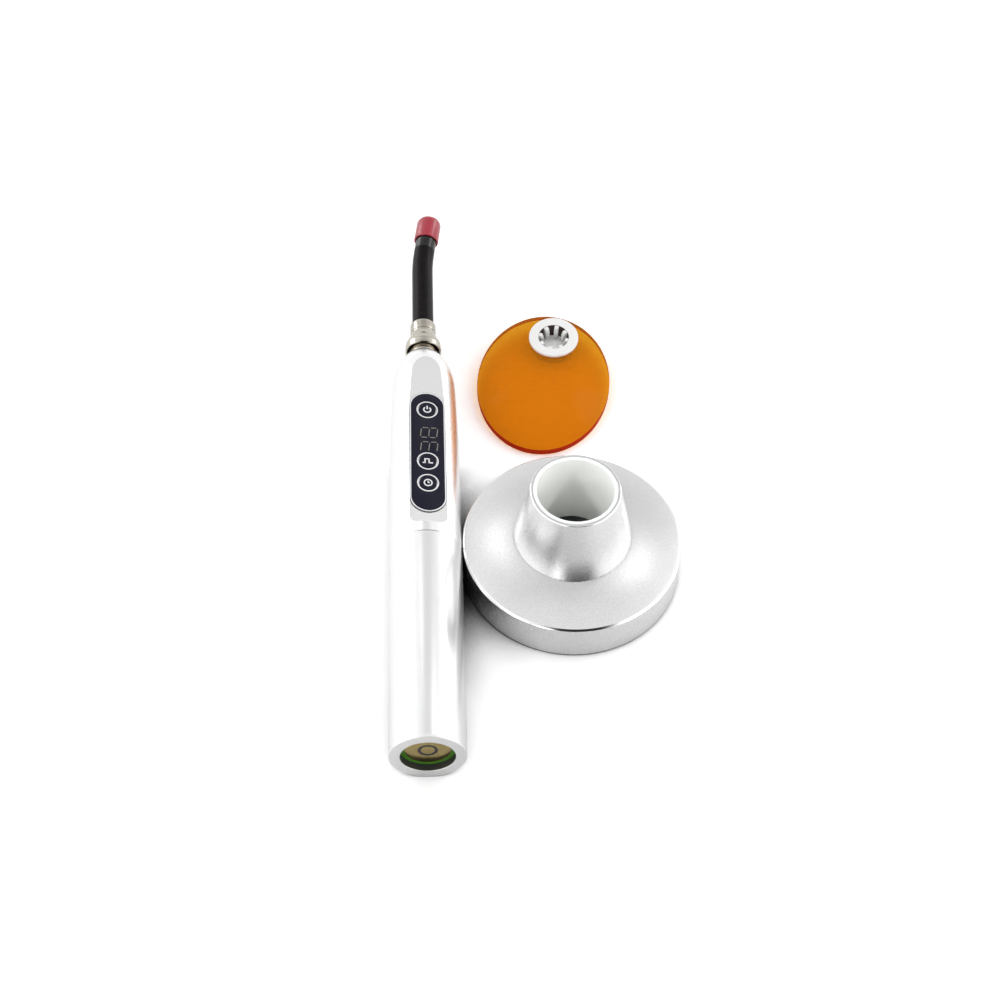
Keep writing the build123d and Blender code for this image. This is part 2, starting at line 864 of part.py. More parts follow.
def socket_liner():
    return upright([
        (socket_r, cup_top), (tower_bore_r, cup_top), (tower_bore_r, tower_top),
        (tower_bore_r - liner_lip, tower_top + liner_lip), (socket_r + liner_lip, tower_top + liner_lip),
        (socket_r, tower_top),
    ])


def charge_pin_places():
    """One contact in the middle and one at each side, over the ring-shaped pad."""
    return {
        "charge_pin_centre": Pos(0, 0, 0),
        "charge_pin_left": Pos(-pin_circle_r, 0, 0),
        "charge_pin_right": Pos(pin_circle_r, 0, 0),
    }


def contact_block():
    """Black cup at the bottom of the socket, whose boss enters the wand's recess."""
    boss_r = recess_r - boss_gap
    body = upright([
        (0, block_bottom), (tower_bore_r, block_bottom), (tower_bore_r, cup_top),
        (cup_r, cup_top), (cup_r, seat_z), (boss_r, seat_z),
        (boss_r, block_top - edge_round), (boss_r - edge_round, block_top), (0, block_top),
    ])
    for place in charge_pin_places().values():
        body -= place * disc(pin_barrel_r, block_bottom, block_top)
    return body


def pin_barrels():
    bore_r = pin_r + running_gap
    barrel = disc(pin_barrel_r, block_bottom, block_top)
    barrel -= disc(bore_r, block_bottom + pin_floor, block_top)
    return group([place * barrel for place in charge_pin_places().values()])


def charge_pin():
    """Sprung plunger with a bevelled head."""
    low = block_bottom + pin_floor + pin_travel + pin_clear
    high = block_top + pin_proud
    return upright([
        (0, low), (pin_r, low), (pin_r, high - pin_bevel), (pin_r - pin_bevel, high), (0, high),
    ])


def charge_board():
    return disc(tower_bore_r, charge_board_bottom, block_bottom)


def socket_clip():
    """Split ring that holds the board, the block and the liner in the tower."""
    ring = disc(tower_bore_r, clip_bottom, charge_board_bottom)
    ring -= disc(tower_bore_r - clip_width, clip_bottom, charge_board_bottom)
    gap = 2 * tower_bore_r * sin(radians(clip_split / 2))
    return ring - Pos(0, -tower_bore_r, 0) * block(gap, tower_bore_r, clip_bottom, charge_board_bottom)


def jack_posts():
    edge = jack_board_width / 2 - jack_post_inset
    middle = jack_front - jack_board_setback - jack_board_length / 2
    return [Pos(-edge, middle, 0), Pos(edge, middle, 0)]


def bottom_plate():
    """Moulded plate that closes the base, with posts for the inlet's board."""
    plate = disc(plate_r, plate_bottom, plate_top)
    for place in jack_posts():
        plate += place * disc(jack_post_r, plate_top, jack_board_bottom)
    for place in screw_places():
        plate -= place * base_screw()
    return plate


def base_screws():
    return group([place * base_screw() for place in screw_places()])


def anti_slip_pad():
    return disc(pad_r, 0, pad_height)


def ballast_ring():
    """Steel weight on the plate, open at the back for the inlet."""
    low = plate_top
    high = plate_top + ballast_height
    ring = disc(ballast_r, low, high) - disc(spigot_r + ballast_gap, low, high)
    return ring - Pos(0, ballast_r, 0) * block(ballast_notch, ballast_r, low, high)


def jack_board():
    middle = jack_front - jack_board_setback - jack_board_length / 2
    return Pos(0, middle, 0) * block(jack_board_width, jack_board_length, jack_board_bottom, jack_board_top)


def dc_jack():
    """Power inlet: a moulded body with a round plug hole."""
    middle = jack_front - jack_length / 2
    body = Pos(0, middle, 0) * block(jack_width, jack_length, jack_board_top, jack_board_top + jack_height)
    mouth = Plane(origin=(0, jack_front, jack_z), z_dir=(0, -1, 0)) * Circle(jack_bore_r)
    return body - extrude(mouth, amount=jack_bore)


def jack_pin_piece():
    seat = Plane(origin=(0, jack_front - jack_bore, jack_z), z_dir=(0, 1, 0)) * Circle(jack_pin_r)
    return extrude(seat, amount=jack_pin)


# Eye shield, drawn flat: the disc's underside is at zero height, and its hub end is towards +Y


def hub_middle():
    return Pos(hub_side, hub_along, 0)


def shield_disc():
    plate = extrude(Ellipse(shield_half_width, shield_half_length), amount=shield_thickness)
    plate = chamfer(plate.edges().group_by(Axis.Z)[-1], edge_round)
    return plate - hub_middle() * disc(hub_sleeve_r, 0, shield_thickness)


def finger_places():
    return [Rot(0, 0, finger_first + 360 * i / finger_count) for i in range(finger_count)]


def shield_hub():
    """Moulded hub: a flange on the disc, a slit sleeve through it, and fingers that grip the light guide."""
    top = shield_thickness + hub_flange
    inner_r = hub_sleeve_r - hub_sleeve_wall
    hub = upright([
        (hub_mouth_r, shield_thickness + hub_web), (hub_mouth_r, top - edge_round),
        (hub_mouth_r + edge_round, top), (hub_r - edge_round, top), (hub_r, top - edge_round),
        (hub_r, shield_thickness), (hub_sleeve_r, shield_thickness), (hub_sleeve_r, -hub_drop),
        (inner_r, -hub_drop), (inner_r, shield_thickness + hub_web),
    ])
    root_r = inner_r + finger_root
    finger_top = top - finger_sink
    wedge = upright([
        (finger_grip_r + finger_lean, finger_top), (finger_grip_r, -hub_drop + finger_grip),
        (finger_grip_r, -hub_drop), (root_r, -hub_drop), (root_r, finger_top),
    ])
    reach = hub_sleeve_r
    for place in finger_places():
        blade = Pos(reach / 2, 0, 0) * block(reach, finger_width, -hub_drop, top)
        hub += wedge & (place * blade)
    slit = Pos(reach, 0, 0) * block(slot_depth, slot_width, -hub_drop, shield_thickness - slot_end)
    half_pitch = Rot(0, 0, 180 / finger_count)
    for place in finger_places():
        hub -= place * half_pitch * slit
    return hub_middle() * hub


def hub_lock_ring():
    """Ring pressed on the sleeve from below, which holds the hub in the disc."""
    ring = disc(lock_ring_r, -hub_drop, 0) - disc(hub_sleeve_r, -hub_drop, 0)
    return hub_middle() * ring


def write_wand():
    pieces = {
        "battery_tube": battery_tube(),
        "end_ring": end_ring(),
        "contact_board": contact_board(),
        "contact_pad_ring": contact_pad(pad_gap_r, pad_ring_r),
        "contact_pad_insulator": contact_pad(pad_centre_r, pad_gap_r),
        "contact_pad_centre": contact_pad(0, pad_centre_r),
        "board_retainer": board_retainer(),
        "battery_spring": battery_spring(),
        "battery_sleeve": battery_sleeve(),
        "battery_cell": battery_cell(),
        "front_contact": front_contact(),
        "contact_disc": contact_disc(),
        "joint_ring": joint_ring(),
        "front_housing": front_housing(),
        "keypad_overlay": keypad_overlay(),
        "tact_switches": tact_switches(),
        "keypad_board": keypad_board(),
        "keypad_screws": keypad_screws(),
        "display_module": display_module(),
        "board_headers": board_headers(),
        "main_board": main_board(),
        "heat_sink": heat_sink(),
        "led_board": led_board(),
        "led_emitter": led_emitter(),
        "lens_barrel": lens_barrel(),
        "collimator_lens": lens(),
        "neck": neck(),
    }
    for name, along in key_places.items():
        pieces[name] = key(along)
    for node, shape in pieces.items():
        save(node, wand_place * shape)


def write_light_guide():
    save("grip_ring", guide_place * grip_ring())
    save("guide_ferrule", guide_place * guide_ferrule())
    save("guide_sheath", guide_place * guide_sheath())
    save("guide_core", guide_place * guide_core())
    save("tip_cap", guide_place * tip_cap())


def write_base():
    save("base_shell", base_shell())
    save("tower_cone", tower_cone())
    save("tower_nut", tower_nut())
    save("socket_liner", socket_liner())
    save("contact_block", contact_block())
    save("pin_barrels", pin_barrels())
    for node, place in charge_pin_places().items():
        save(node, place * charge_pin())
    save("charge_board", charge_board())
    save("socket_clip", socket_clip())
    save("bottom_plate", bottom_plate())
    save("base_screws", base_screws())
    save("anti_slip_pad", anti_slip_pad())
    save("ballast_ring", ballast_ring())
    save("jack_board", jack_board())
    save("dc_jack", dc_jack())
    save("jack_pin", jack_pin_piece())


def write_shield():
    save("shield_disc", shield_place * shield_disc())
    save("shield_hub", shield_place * shield_hub())
    save("hub_lock_ring", shield_place * hub_lock_ring())


os.makedirs("parts", exist_ok=True)
write_base()
write_wand()
write_light_guide()
write_shield()
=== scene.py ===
"""Dental curing light: looks of the wand, its charging base and its eye shield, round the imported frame."""

from math import asin, atan, cos, degrees, pi, radians, sin

import bmesh
import bpy
from bpy.props import FloatProperty, FloatVectorProperty, PointerProperty
from mathutils import Matrix, Vector


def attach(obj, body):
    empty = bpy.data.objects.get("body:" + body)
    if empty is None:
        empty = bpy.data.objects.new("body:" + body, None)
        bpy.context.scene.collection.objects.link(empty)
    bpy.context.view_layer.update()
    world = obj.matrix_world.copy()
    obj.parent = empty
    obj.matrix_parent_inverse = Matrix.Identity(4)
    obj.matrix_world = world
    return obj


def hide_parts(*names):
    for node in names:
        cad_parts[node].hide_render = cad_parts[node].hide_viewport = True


bl_info = {
    "name": "Dental Curing Light",
    "version": (1, 0, 0),
    "blender": (4, 5, 0),
    "location": "3D View > Sidebar > Curing Light",
    "description": "Cordless curing light with its charging base and eye shield",
    "category": "Add Mesh",
}

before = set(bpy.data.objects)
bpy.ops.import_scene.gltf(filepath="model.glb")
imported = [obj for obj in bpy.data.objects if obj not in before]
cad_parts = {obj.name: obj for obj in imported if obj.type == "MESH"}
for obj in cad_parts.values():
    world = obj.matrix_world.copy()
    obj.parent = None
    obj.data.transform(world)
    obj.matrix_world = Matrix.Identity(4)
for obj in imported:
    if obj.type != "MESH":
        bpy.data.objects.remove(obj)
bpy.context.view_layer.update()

# Shapes are drawn in millimetres and scaled once, when a piece is finished.
MM = 0.001
ROUND_STEPS = 160
SMALL_STEPS = 72
STADIUM_STEPS = 96
SHELL_STEPS = 256


def turn(angle, axis):
    return Matrix.Rotation(radians(angle), 4, axis)


def shift(x, y, z):
    return Matrix.Translation((x, y, z))


# Where things lie. Along the wand, +Y runs from the rear end to the tip and +Z is the keypad side.
WAND = turn(2.9, "Z") @ shift(-54.05, -88.7, 13.5)
KEYPAD = WAND @ turn(7, "Y")
BEND = WAND @ turn(56, "Y")
UPRIGHT = turn(90, "X")
SHIELD_TILT = 2.9877
SHIELD_LIFT = 34.2 * sin(radians(SHIELD_TILT))
SHIELD = shift(-10.5, 87.0, SHIELD_LIFT) @ turn(-4.9, "Z") @ turn(SHIELD_TILT, "X")
HUB_AT = (2.1, 22.9)
HUB = SHIELD @ shift(*HUB_AT, 0)

# Wand, in millimetres
TUBE_BORE_R = 12.0
EDGE_CHAMFER = 0.15
END_FACE = 1.2
END_LENGTH = 7
RECESS_R = 9.57
RECESS_DEPTH = 2.8
BOARD_R = 10.6
BOARD_BACK = 4.4
PAD_FACE = 2.65
PAD_EDGE = 0.06
SEAM = (86.1, 86.3)
SHOULDER = 105.0
NOSE = (12.3, 165.0)
HOUSING_FRONT = 181.0
CAVITY_R = 9.8
FLAT = 10.9
POCKET_REAR = 90.4
POCKET_HALF_WIDTH = 7.0
POCKET_CORNER = 3.5
POCKET_CUT = (5, 6)
FILM_TOP = 11.3
FILM = (96.3, 153.9)
FILM_HALF_WIDTH = 6.9
KEY_R = 3.25
KEY_HOLE_R = 3.55
KEY_TOP = 11.4
KEY_FLANGE = (4.1, 8.6, 9.1)
RING = (3.6, 4.1)
KEYS = {"key_power": 145.2, "key_mode": 120.1, "key_timer": 109.75}
BORDER_INSET = 0.12
BORDER_LINE = 0.5
PRINT = 0.03
DIGITS_ACROSS = 0.6
DIGITS_ALONG = (133.9, 127.0)
NECK_R = 5.6
NECK_SEAT = 175.5
GUIDE_BORE_R = 4.33
GUIDE_REAR = 176
BEND_START = 228.0
BEND_R = 74.5
BEND_ANGLE = 10.0
CAP_ALONG = 5.1
CAP_LENGTH = 11.8
CAP_ROOF = 1.3
CAP_GAP = 0.3

# Charging base, in millimetres
SHELL_WALL = 2.2
RIM_CHAMFER = 0.7
FOOT = 0.6
PLATE_SEAT = (1.6, 2.6)
WALL_TOP = 13.6
INLET_R = 3.4
INLET_HEIGHT = 9.3
INLET_ALONG = (30, 45)
STEM_R = 19.0
TOWER_LOW = 6
TOWER_BORE_R = 15.1
TOWER_CHAMFER = 0.35
LINER_R = 13.95
LINER_LOW = 12.1
LINER_STEP = 15.5
LINER_PROUD = 0.25

# Eye shield, in millimetres
HUB_SLEEVE_R = 7.5
HUB_BORE_R = 6.2
HUB_DROP = 2.5
HUB_PROUD = 1.0
FINGERS = 8
FINGER_WIDTH = 1.7
FINGER_OUTLINE = ((4.9, 0.3), (6.6, 0.3), (6.6, 6), (4.2, 6), (4.2, 2.2))


class WandSizes(bpy.types.PropertyGroup):
    """Sizes of the wand that show"""

    barrel: FloatProperty(name="Barrel", description="Radius of the barrel", default=0.0135, unit="LENGTH")
    nose: FloatProperty(name="Nose", description="Radius of the front rim", default=0.007, unit="LENGTH")
    guide: FloatProperty(name="Guide", description="Radius of the rod", default=0.00425, unit="LENGTH")
    cap: FloatProperty(name="Cap", description="Radius of the tip cap", default=0.00505, unit="LENGTH")
    ferrule: FloatProperty(name="Ferrule", description="Radius of its rim", default=0.0072, unit="LENGTH")


class BaseSizes(bpy.types.PropertyGroup):
    """Sizes of the charging base that show"""

    radius: FloatProperty(name="Radius", description="Radius of the skirt", default=0.0404, unit="LENGTH")
    skirt: FloatProperty(name="Skirt height", description="Top of the skirt", default=0.0154, unit="LENGTH")
    dome: FloatProperty(name="Dome height", description="Top of the dome", default=0.0197, unit="LENGTH")
    foot: FloatProperty(name="Tower foot", description="Radius of the foot", default=0.0215, unit="LENGTH")
    mouth: FloatProperty(name="Tower mouth", description="Radius of the mouth", default=0.0163, unit="LENGTH")
    top: FloatProperty(name="Tower top", description="Height of the tower", default=0.0457, unit="LENGTH")


class ShieldSizes(bpy.types.PropertyGroup):
    """Sizes of the eye shield"""

    width: FloatProperty(name="Half width", description="Centre to side", default=0.0265, unit="LENGTH")
    length: FloatProperty(name="Half length", description="Centre to end", default=0.0342, unit="LENGTH")
    thickness: FloatProperty(name="Thickness", description="Sheet thickness", default=0.003, unit="LENGTH")
    hub: FloatProperty(name="Hub radius", description="Radius of the flange", default=0.0101, unit="LENGTH")


class Finishes(bpy.types.PropertyGroup):
    """Colours of the finishes"""

    silver: FloatVectorProperty(
        name="Satin silver", description="Anodised base", default=(0.80, 0.80, 0.805), subtype="COLOR"
    )
    bright: FloatVectorProperty(
        name="Bright silver", description="Anodised wand", default=(0.96, 0.96, 0.962), subtype="COLOR"
    )
    film: FloatVectorProperty(
        name="Keypad film", description="Printed film", default=(0.008, 0.008, 0.02), subtype="COLOR"
    )
    cap: FloatVectorProperty(
        name="Tip cap", description="Soft cap", default=(0.40, 0.022, 0.042), subtype="COLOR"
    )
    shield: FloatVectorProperty(
        name="Eye shield", description="Tinted sheet", default=(0.80, 0.39, 0.019), subtype="COLOR"
    )


GROUPS = {
    "curing_wand": WandSizes, "curing_base": BaseSizes, "curing_shield": ShieldSizes,
    "curing_finish": Finishes,
}


class Sizes:
    """A group's lengths in millimetres."""

    def __init__(self, group):
        for name in group.bl_rna.properties.keys():
            value = getattr(group, name)
            if isinstance(value, float):
                setattr(self, name, value / MM)


# Outlines and solids


class Outline:
    """A closed outline in the (radius, along) plane, drawn point by point."""

    def __init__(self, *start):
        self.bm = bmesh.new()
        self.first = self.last = self.bm.verts.new((*start, 0))

    def to(self, *points):
        for point in points:
            vert = self.bm.verts.new((*point, 0))
            self.bm.edges.new((self.last, vert))
            self.last = vert
        return self

    def swing(self, centre, angle, steps):
        """An arc about a centre, anticlockwise if the angle is positive."""
        made = bmesh.ops.spin(
            self.bm, geom=[self.last], cent=(*centre, 0), axis=(0, 0, 1), angle=radians(angle), steps=steps
        )
        self.last = only(bmesh.types.BMVert, made["geom_last"])[0]
        return self

    def arc(self, middle, end, steps):
        """An arc through a middle point to an end point."""
        a, b, c = self.last.co.xy, Vector(middle), Vector(end)
        ab, ac = b - a, c - a
        det = 2 * (ab.x * ac.y - ab.y * ac.x)
        ux = (ac.y * ab.length_squared - ab.y * ac.length_squared) / det
        uy = (ab.x * ac.length_squared - ac.x * ab.length_squared) / det
        centre = a + Vector((ux, uy))
        start, stop = a - centre, c - centre
        angle = degrees(start.angle(stop))
        if det < 0:
            angle = -angle
        return self.swing(centre, angle, steps)

    def glide(self, end, steps):
        """Two equal arcs that start and end along the axis."""
        x, y = self.last.co.xy
        dx, dy = (end[0] - x) / 2, (end[1] - y) / 2
        radius = (dx * dx + dy * dy) / (2 * abs(dx))
        angle = degrees(asin(dy / radius))
        side = 1 if dx < 0 else -1
        self.swing((x - side * radius, y), side * angle, steps)
        return self.swing((end[0] + side * radius, end[1]), -side * angle, steps)

    def close(self):
        self.bm.edges.new((self.last, self.first))
        return self.bm


def bevel(bm, geom, width, segments, affect="EDGES", clamp=False):
    bmesh.ops.bevel(
        bm, geom=geom, offset=width, offset_type="OFFSET", segments=segments, profile=0.5, affect=affect,
        clamp_overlap=clamp, material=-1,
    )


def polygon(points, rounds=()):
    """A closed outline with some corners rounded, given as (corner, length) pairs."""
    bm = Outline(*points[0]).to(*points[1:]).close()
    bm.verts.ensure_lookup_table()
    corners = [(bm.verts[corner], length) for corner, length in rounds]
    for vert, length in corners:
        bevel(bm, [vert], length, 6, "VERTICES")
    return bm


def turned(bm, steps=ROUND_STEPS):
    """Spins an outline about +Y into a solid."""
    bmesh.ops.spin(
        bm, geom=bm.verts[:] + bm.edges[:], axis=(0, 1, 0), cent=(0, 0, 0), angle=radians(360), steps=steps,
        use_merge=True,
    )
    bmesh.ops.remove_doubles(bm, verts=bm.verts, dist=1e-4)
    bmesh.ops.delete(bm, geom=[e for e in bm.edges if not e.link_faces], context="EDGES")
    bmesh.ops.recalc_face_normals(bm, faces=bm.faces)
    return bm


def soften(bm, width, angle):
    """Bevels the edges that are sharper than the angle."""
    sharp = [e for e in bm.edges if e.is_manifold and e.calc_face_angle() > radians(angle)]
    bevel(bm, sharp, width, 2, clamp=True)
    return bm


def only(kind, geom):
    return [g for g in geom if isinstance(g, kind)]


def moved(bm, matrix):
    bmesh.ops.transform(bm, matrix=matrix, verts=bm.verts)
    return bm


def joined(*parts):
    """Several bmeshes as one."""
    whole = bmesh.new()
    for part in parts:
        mesh = bpy.data.meshes.new("part")
        part.to_mesh(mesh)
        part.free()
        whole.from_mesh(mesh)
        bpy.data.meshes.remove(mesh)
    return whole


def block(size, middle):
    bm = bmesh.new()
    bmesh.ops.create_cube(bm, size=1, matrix=shift(*middle) @ Matrix.Diagonal((*size, 1)))
    return bm


def ring(inner, outer, low, high, steps=SMALL_STEPS, angle=360):
    """An upright ring, or part of one."""
    bm = polygon([(inner, low), (outer, low), (outer, high), (inner, high)])
    if angle == 360:
        return moved(turned(bm, steps), UPRIGHT)
    bmesh.ops.contextual_create(bm, geom=bm.edges[:])
    bmesh.ops.spin(bm, geom=bm.faces[:], axis=(0, 1, 0), cent=(0, 0, 0), angle=radians(angle), steps=steps)
    bmesh.ops.recalc_face_normals(bm, faces=bm.faces)
    return moved(bm, UPRIGHT)


def raised(bm, height):
    """Pulls flat faces up into a solid."""
    rise = bmesh.ops.extrude_face_region(bm, geom=bm.faces[:])
    bmesh.ops.translate(bm, verts=only(bmesh.types.BMVert, rise["geom"]), vec=(0, 0, height))
    bmesh.ops.recalc_face_normals(bm, faces=bm.faces)
    return bm


def paint(bm, slot, where):
    """Gives the faces whose middle passes the test another of the piece's materials."""
    for face in bm.faces:
        if where(face.calc_center_median()):
            face.material_index = slot


def cut(bm, tool):
    """bm less tool, as a new bmesh."""
    objects = []
    for part in (bm, tool):
        mesh = bpy.data.meshes.new("cut")
        part.to_mesh(mesh)
        part.free()
        obj = bpy.data.objects.new("cut", mesh)
        bpy.context.scene.collection.objects.link(obj)
        objects.append(obj)
    body, cutter = objects
    modifier = body.modifiers.new("Cut", "BOOLEAN")
    modifier.object = cutter
    modifier.operation = "DIFFERENCE"
    modifier.solver = "EXACT"
    made = bpy.data.meshes.new_from_object(body.evaluated_get(bpy.context.evaluated_depsgraph_get()))
    result = bmesh.new()
    result.from_mesh(made)
    bpy.data.meshes.remove(made)
    for obj in objects:
        mesh = obj.data
        bpy.data.objects.remove(obj)
        bpy.data.meshes.remove(mesh)
    bmesh.ops.remove_doubles(result, verts=result.verts, dist=1e-4)
    return result


def piece(name, bm, body, slot, *materials, place=None, nodes=(), smooth=35):
    """Finishes a piece: its place goes into its mesh, and it rides on its body."""
    bmesh.ops.transform(bm, matrix=Matrix.Scale(MM, 4) @ (place or Matrix()), verts=bm.verts)
    mesh = bpy.data.meshes.new(name)
    bm.to_mesh(mesh)
    bm.free()
    mesh.shade_smooth()
    mesh.set_sharp_from_angle(angle=radians(smooth))
    for material in materials:
        mesh.materials.append(material)
    obj = bpy.data.objects.new(name, mesh)
    bpy.context.scene.collection.objects.link(obj)
    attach(obj, body)
    if nodes:
        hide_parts(*nodes)


# Finishes


def socket(group, name, kind, way="INPUT", default=None):
    made = group.interface.new_socket(name, in_out=way, socket_type=kind)
    if default is not None:
        made.default_value = default


def grain_group():
    """Fine and broad unevenness: a height for the bump and two masks."""
    group = bpy.data.node_groups.get("Surface grain")
    if group:
        return group
    group = bpy.data.node_groups.new("Surface grain", "ShaderNodeTree")
    socket(group, "Vector", "NodeSocketVector")
    socket(group, "Fine", "NodeSocketFloat", default=3000.0)
    socket(group, "Broad", "NodeSocketFloat", default=60.0)
    for name in ("Height", "Speck", "Mottle"):
        socket(group, name, "NodeSocketFloat", "OUTPUT")
    nodes, links = group.nodes, group.links
    start = nodes.new("NodeGroupInput")
    end = nodes.new("NodeGroupOutput")
    fine = nodes.new("ShaderNodeTexNoise")
    broad = nodes.new("ShaderNodeTexNoise")
    fine.inputs["Detail"].default_value = 3.0
    broad.inputs["Detail"].default_value = 4.0
    for texture, scale in ((fine, "Fine"), (broad, "Broad")):
        links.new(start.outputs["Vector"], texture.inputs["Vector"])
        links.new(start.outputs[scale], texture.inputs["Scale"])
    blend = nodes.new("ShaderNodeMath")
    blend.operation = "MULTIPLY_ADD"
    blend.inputs[1].default_value = BROAD_SHARE
    links.new(broad.outputs["Fac"], blend.inputs[0])
    links.new(fine.outputs["Fac"], blend.inputs[2])
    links.new(blend.outputs["Value"], end.inputs["Height"])
    links.new(fine.outputs["Fac"], end.inputs["Speck"])
    mottle = nodes.new("ShaderNodeMapRange")
    mottle.inputs["From Min"].default_value, mottle.inputs["From Max"].default_value = MOTTLE_RANGE
    links.new(blend.outputs["Value"], mottle.inputs["Value"])
    links.new(mottle.outputs["Result"], end.inputs["Mottle"])
    return group


# Names of the shader's sockets that take a flat value
FLAT_SOCKETS = {
    "metallic": "Metallic", "coat": "Coat Weight", "coat_roughness": "Coat Roughness", "ior": "IOR",
    "transmission": "Transmission Weight", "specular": "Specular IOR Level",
    "subsurface": "Subsurface Weight", "subsurface_scale": "Subsurface Scale",
}
# The grain's broad share and depth in metres, and how the mottling and the roughness follow it
BROAD_SHARE = 0.35
GRAIN_DEPTH = 0.00002
MOTTLE_RANGE = (0.5, 0.85)
ROUGHNESS_DRIFT = (0.88, 1.12)
MOTTLE_SHADE = 0.9


def finish(
    name, colour, roughness, shade=None, fine=3000.0, broad=60.0, bump=0.1, stretch=None, **flat
):
    """A procedural finish: its colour and roughness drift a little, and its grain gives a bump."""
    material = bpy.data.materials.get(name)
    if material:
        return material
    material = bpy.data.materials.new(name)
    material.use_nodes = True
    nodes, links = material.node_tree.nodes, material.node_tree.links
    shader = nodes["Principled BSDF"]
    for key, value in flat.items():
        shader.inputs[FLAT_SOCKETS[key]].default_value = value
    place = nodes.new("ShaderNodeTexCoord")
    source = place.outputs["Object"]
    if stretch:
        mapping = nodes.new("ShaderNodeMapping")
        angle, scale = stretch
        mapping.inputs["Rotation"].default_value = (0, 0, radians(angle))
        mapping.inputs["Scale"].default_value = scale
        links.new(source, mapping.inputs["Vector"])
        source = mapping.outputs["Vector"]
    grain = nodes.new("ShaderNodeGroup")
    grain.node_tree = grain_group()
    grain.inputs["Fine"].default_value = fine
    grain.inputs["Broad"].default_value = broad
    links.new(source, grain.inputs["Vector"])
    mix = nodes.new("ShaderNodeMix")
    mix.data_type = "RGBA"
    mix.inputs[6].default_value = (*colour, 1)
    mix.inputs[7].default_value = (*(shade or [c * MOTTLE_SHADE for c in colour]), 1)
    links.new(grain.outputs["Mottle"], mix.inputs[0])
    links.new(mix.outputs[2], shader.inputs["Base Color"])
    spread = nodes.new("ShaderNodeMapRange")
    spread.inputs["To Min"].default_value = roughness * ROUGHNESS_DRIFT[0]
    spread.inputs["To Max"].default_value = roughness * ROUGHNESS_DRIFT[1]
    links.new(grain.outputs["Speck"], spread.inputs["Value"])
    links.new(spread.outputs["Result"], shader.inputs["Roughness"])
    relief = nodes.new("ShaderNodeBump")
    relief.inputs["Strength"].default_value = bump
    relief.inputs["Distance"].default_value = GRAIN_DEPTH
    links.new(grain.outputs["Height"], relief.inputs["Height"])
    links.new(relief.outputs["Normal"], shader.inputs["Normal"])
    return material


def satin_silver():
    silver = bpy.context.scene.curing_finish.silver
    shade = [c * 0.86 for c in silver]
    return finish("Satin silver", silver, 0.28, shade, metallic=1.0, fine=2300, bump=0.2)


def cut_edge():
    return finish("Bright-cut edge", (0.9, 0.9, 0.91), 0.1, metallic=1.0, fine=1500, bump=0.02)


def bright_silver():
    silver = bpy.context.scene.curing_finish.bright
    shade = [c * 0.93 for c in silver]
    return finish("Bright silver", silver, 0.26, shade, metallic=0.88, fine=2300, bump=0.2)


def grey_metal():
    return finish(
        "Grainy grey metal", (0.93, 0.93, 0.93), 0.45, (0.78, 0.78, 0.78), metallic=1.0, fine=2600, bump=0.5
    )


def polished_nickel():
    return finish(
        "Polished nickel", (0.60, 0.57, 0.51), 0.12, (0.46, 0.43, 0.37), metallic=1.0, fine=900, bump=0.12,
        stretch=(-3, (0.02, 1, 0.02)),
    )


def plain_steel():
    return finish("Zinc-plated steel", (0.55, 0.55, 0.57), 0.3, metallic=1.0, fine=1500)


def gold():
    return finish(
        "Gold plate", (0.50, 0.39, 0.16), 0.2, (0.34, 0.26, 0.10), metallic=1.0, fine=1800, broad=250,
        bump=0.2,
    )


def board_green():
    return finish("Green board", (0.09, 0.32, 0.015), 0.3, (0.06, 0.22, 0.01), fine=1200, coat=0.3)


def film_navy():
    return finish(
        "Navy film", bpy.context.scene.curing_finish.film, 0.35, (0.012, 0.012, 0.024), fine=2500, bump=0.08,
        specular=0.15,
    )


def print_white():
    return finish("White print", (0.86, 0.86, 0.87), 0.45, (0.78, 0.78, 0.8), fine=3000, bump=0.05)


def segment_grey():
    return finish(
        "Display segment", (0.30, 0.29, 0.24), 0.35, (0.12, 0.115, 0.09), fine=2500, broad=700, bump=0.05
    )


def liner_white():
    return finish("Liner", (0.9, 0.91, 0.89), 0.3, (0.86, 0.88, 0.85), fine=1500, bump=0.08, coat=0.2)


def white_plastic():
    return finish(
        "White plastic", (0.92, 0.92, 0.91), 0.28, (0.88, 0.88, 0.87), fine=1500, bump=0.08, coat=0.3
    )


# Painted shade: a dark brown for the hub's bore, standing in for the shadowed slots between the fingers.
def hub_bore_painted_shade():
    return finish("Hub bore painted shade", (0.035, 0.02, 0.014), 0.6, (0.06, 0.03, 0.02), fine=1500, bump=0.2)


def black_plastic():
    return finish("Black plastic", (0.02, 0.02, 0.022), 0.45, (0.03, 0.03, 0.032), fine=2200, bump=0.3)


def grey_plastic():
    return finish("Grey plastic", (0.4, 0.4, 0.41), 0.5, fine=2000, bump=0.2)


def black_rubber():
    return finish("Black rubber", (0.025, 0.025, 0.025), 0.8, (0.04, 0.04, 0.04), fine=1800, bump=0.5)


def guide_black():
    return finish(
        "Guide sheath", (0.004, 0.003, 0.0035), 0.3, (0.009, 0.007, 0.008), fine=500, broad=90, bump=0.12,
        specular=0.1,
    )


def guide_shine():
    return finish(
        "Bare sheath", (0.006, 0.005, 0.005), 0.12, (0.010, 0.008, 0.008), fine=900, bump=0.05, specular=0.4
    )


def cap_red():
    return finish(
        "Soft cap", bpy.context.scene.curing_finish.cap, 0.25, (0.42, 0.025, 0.05), fine=700, broad=200,
        bump=0.15, coat=0.35, coat_roughness=0.12, subsurface=0.1, subsurface_scale=0.001,
    )


def cell_wrap():
    return finish("Cell wrap", (0.08, 0.2, 0.42), 0.3, fine=900, bump=0.05, coat=0.3)


def clear_glass():
    return finish(
        "Clear glass", (0.95, 0.97, 1.0), 0.05, (0.93, 0.96, 1.0), fine=200, bump=0.0, transmission=1.0
    )


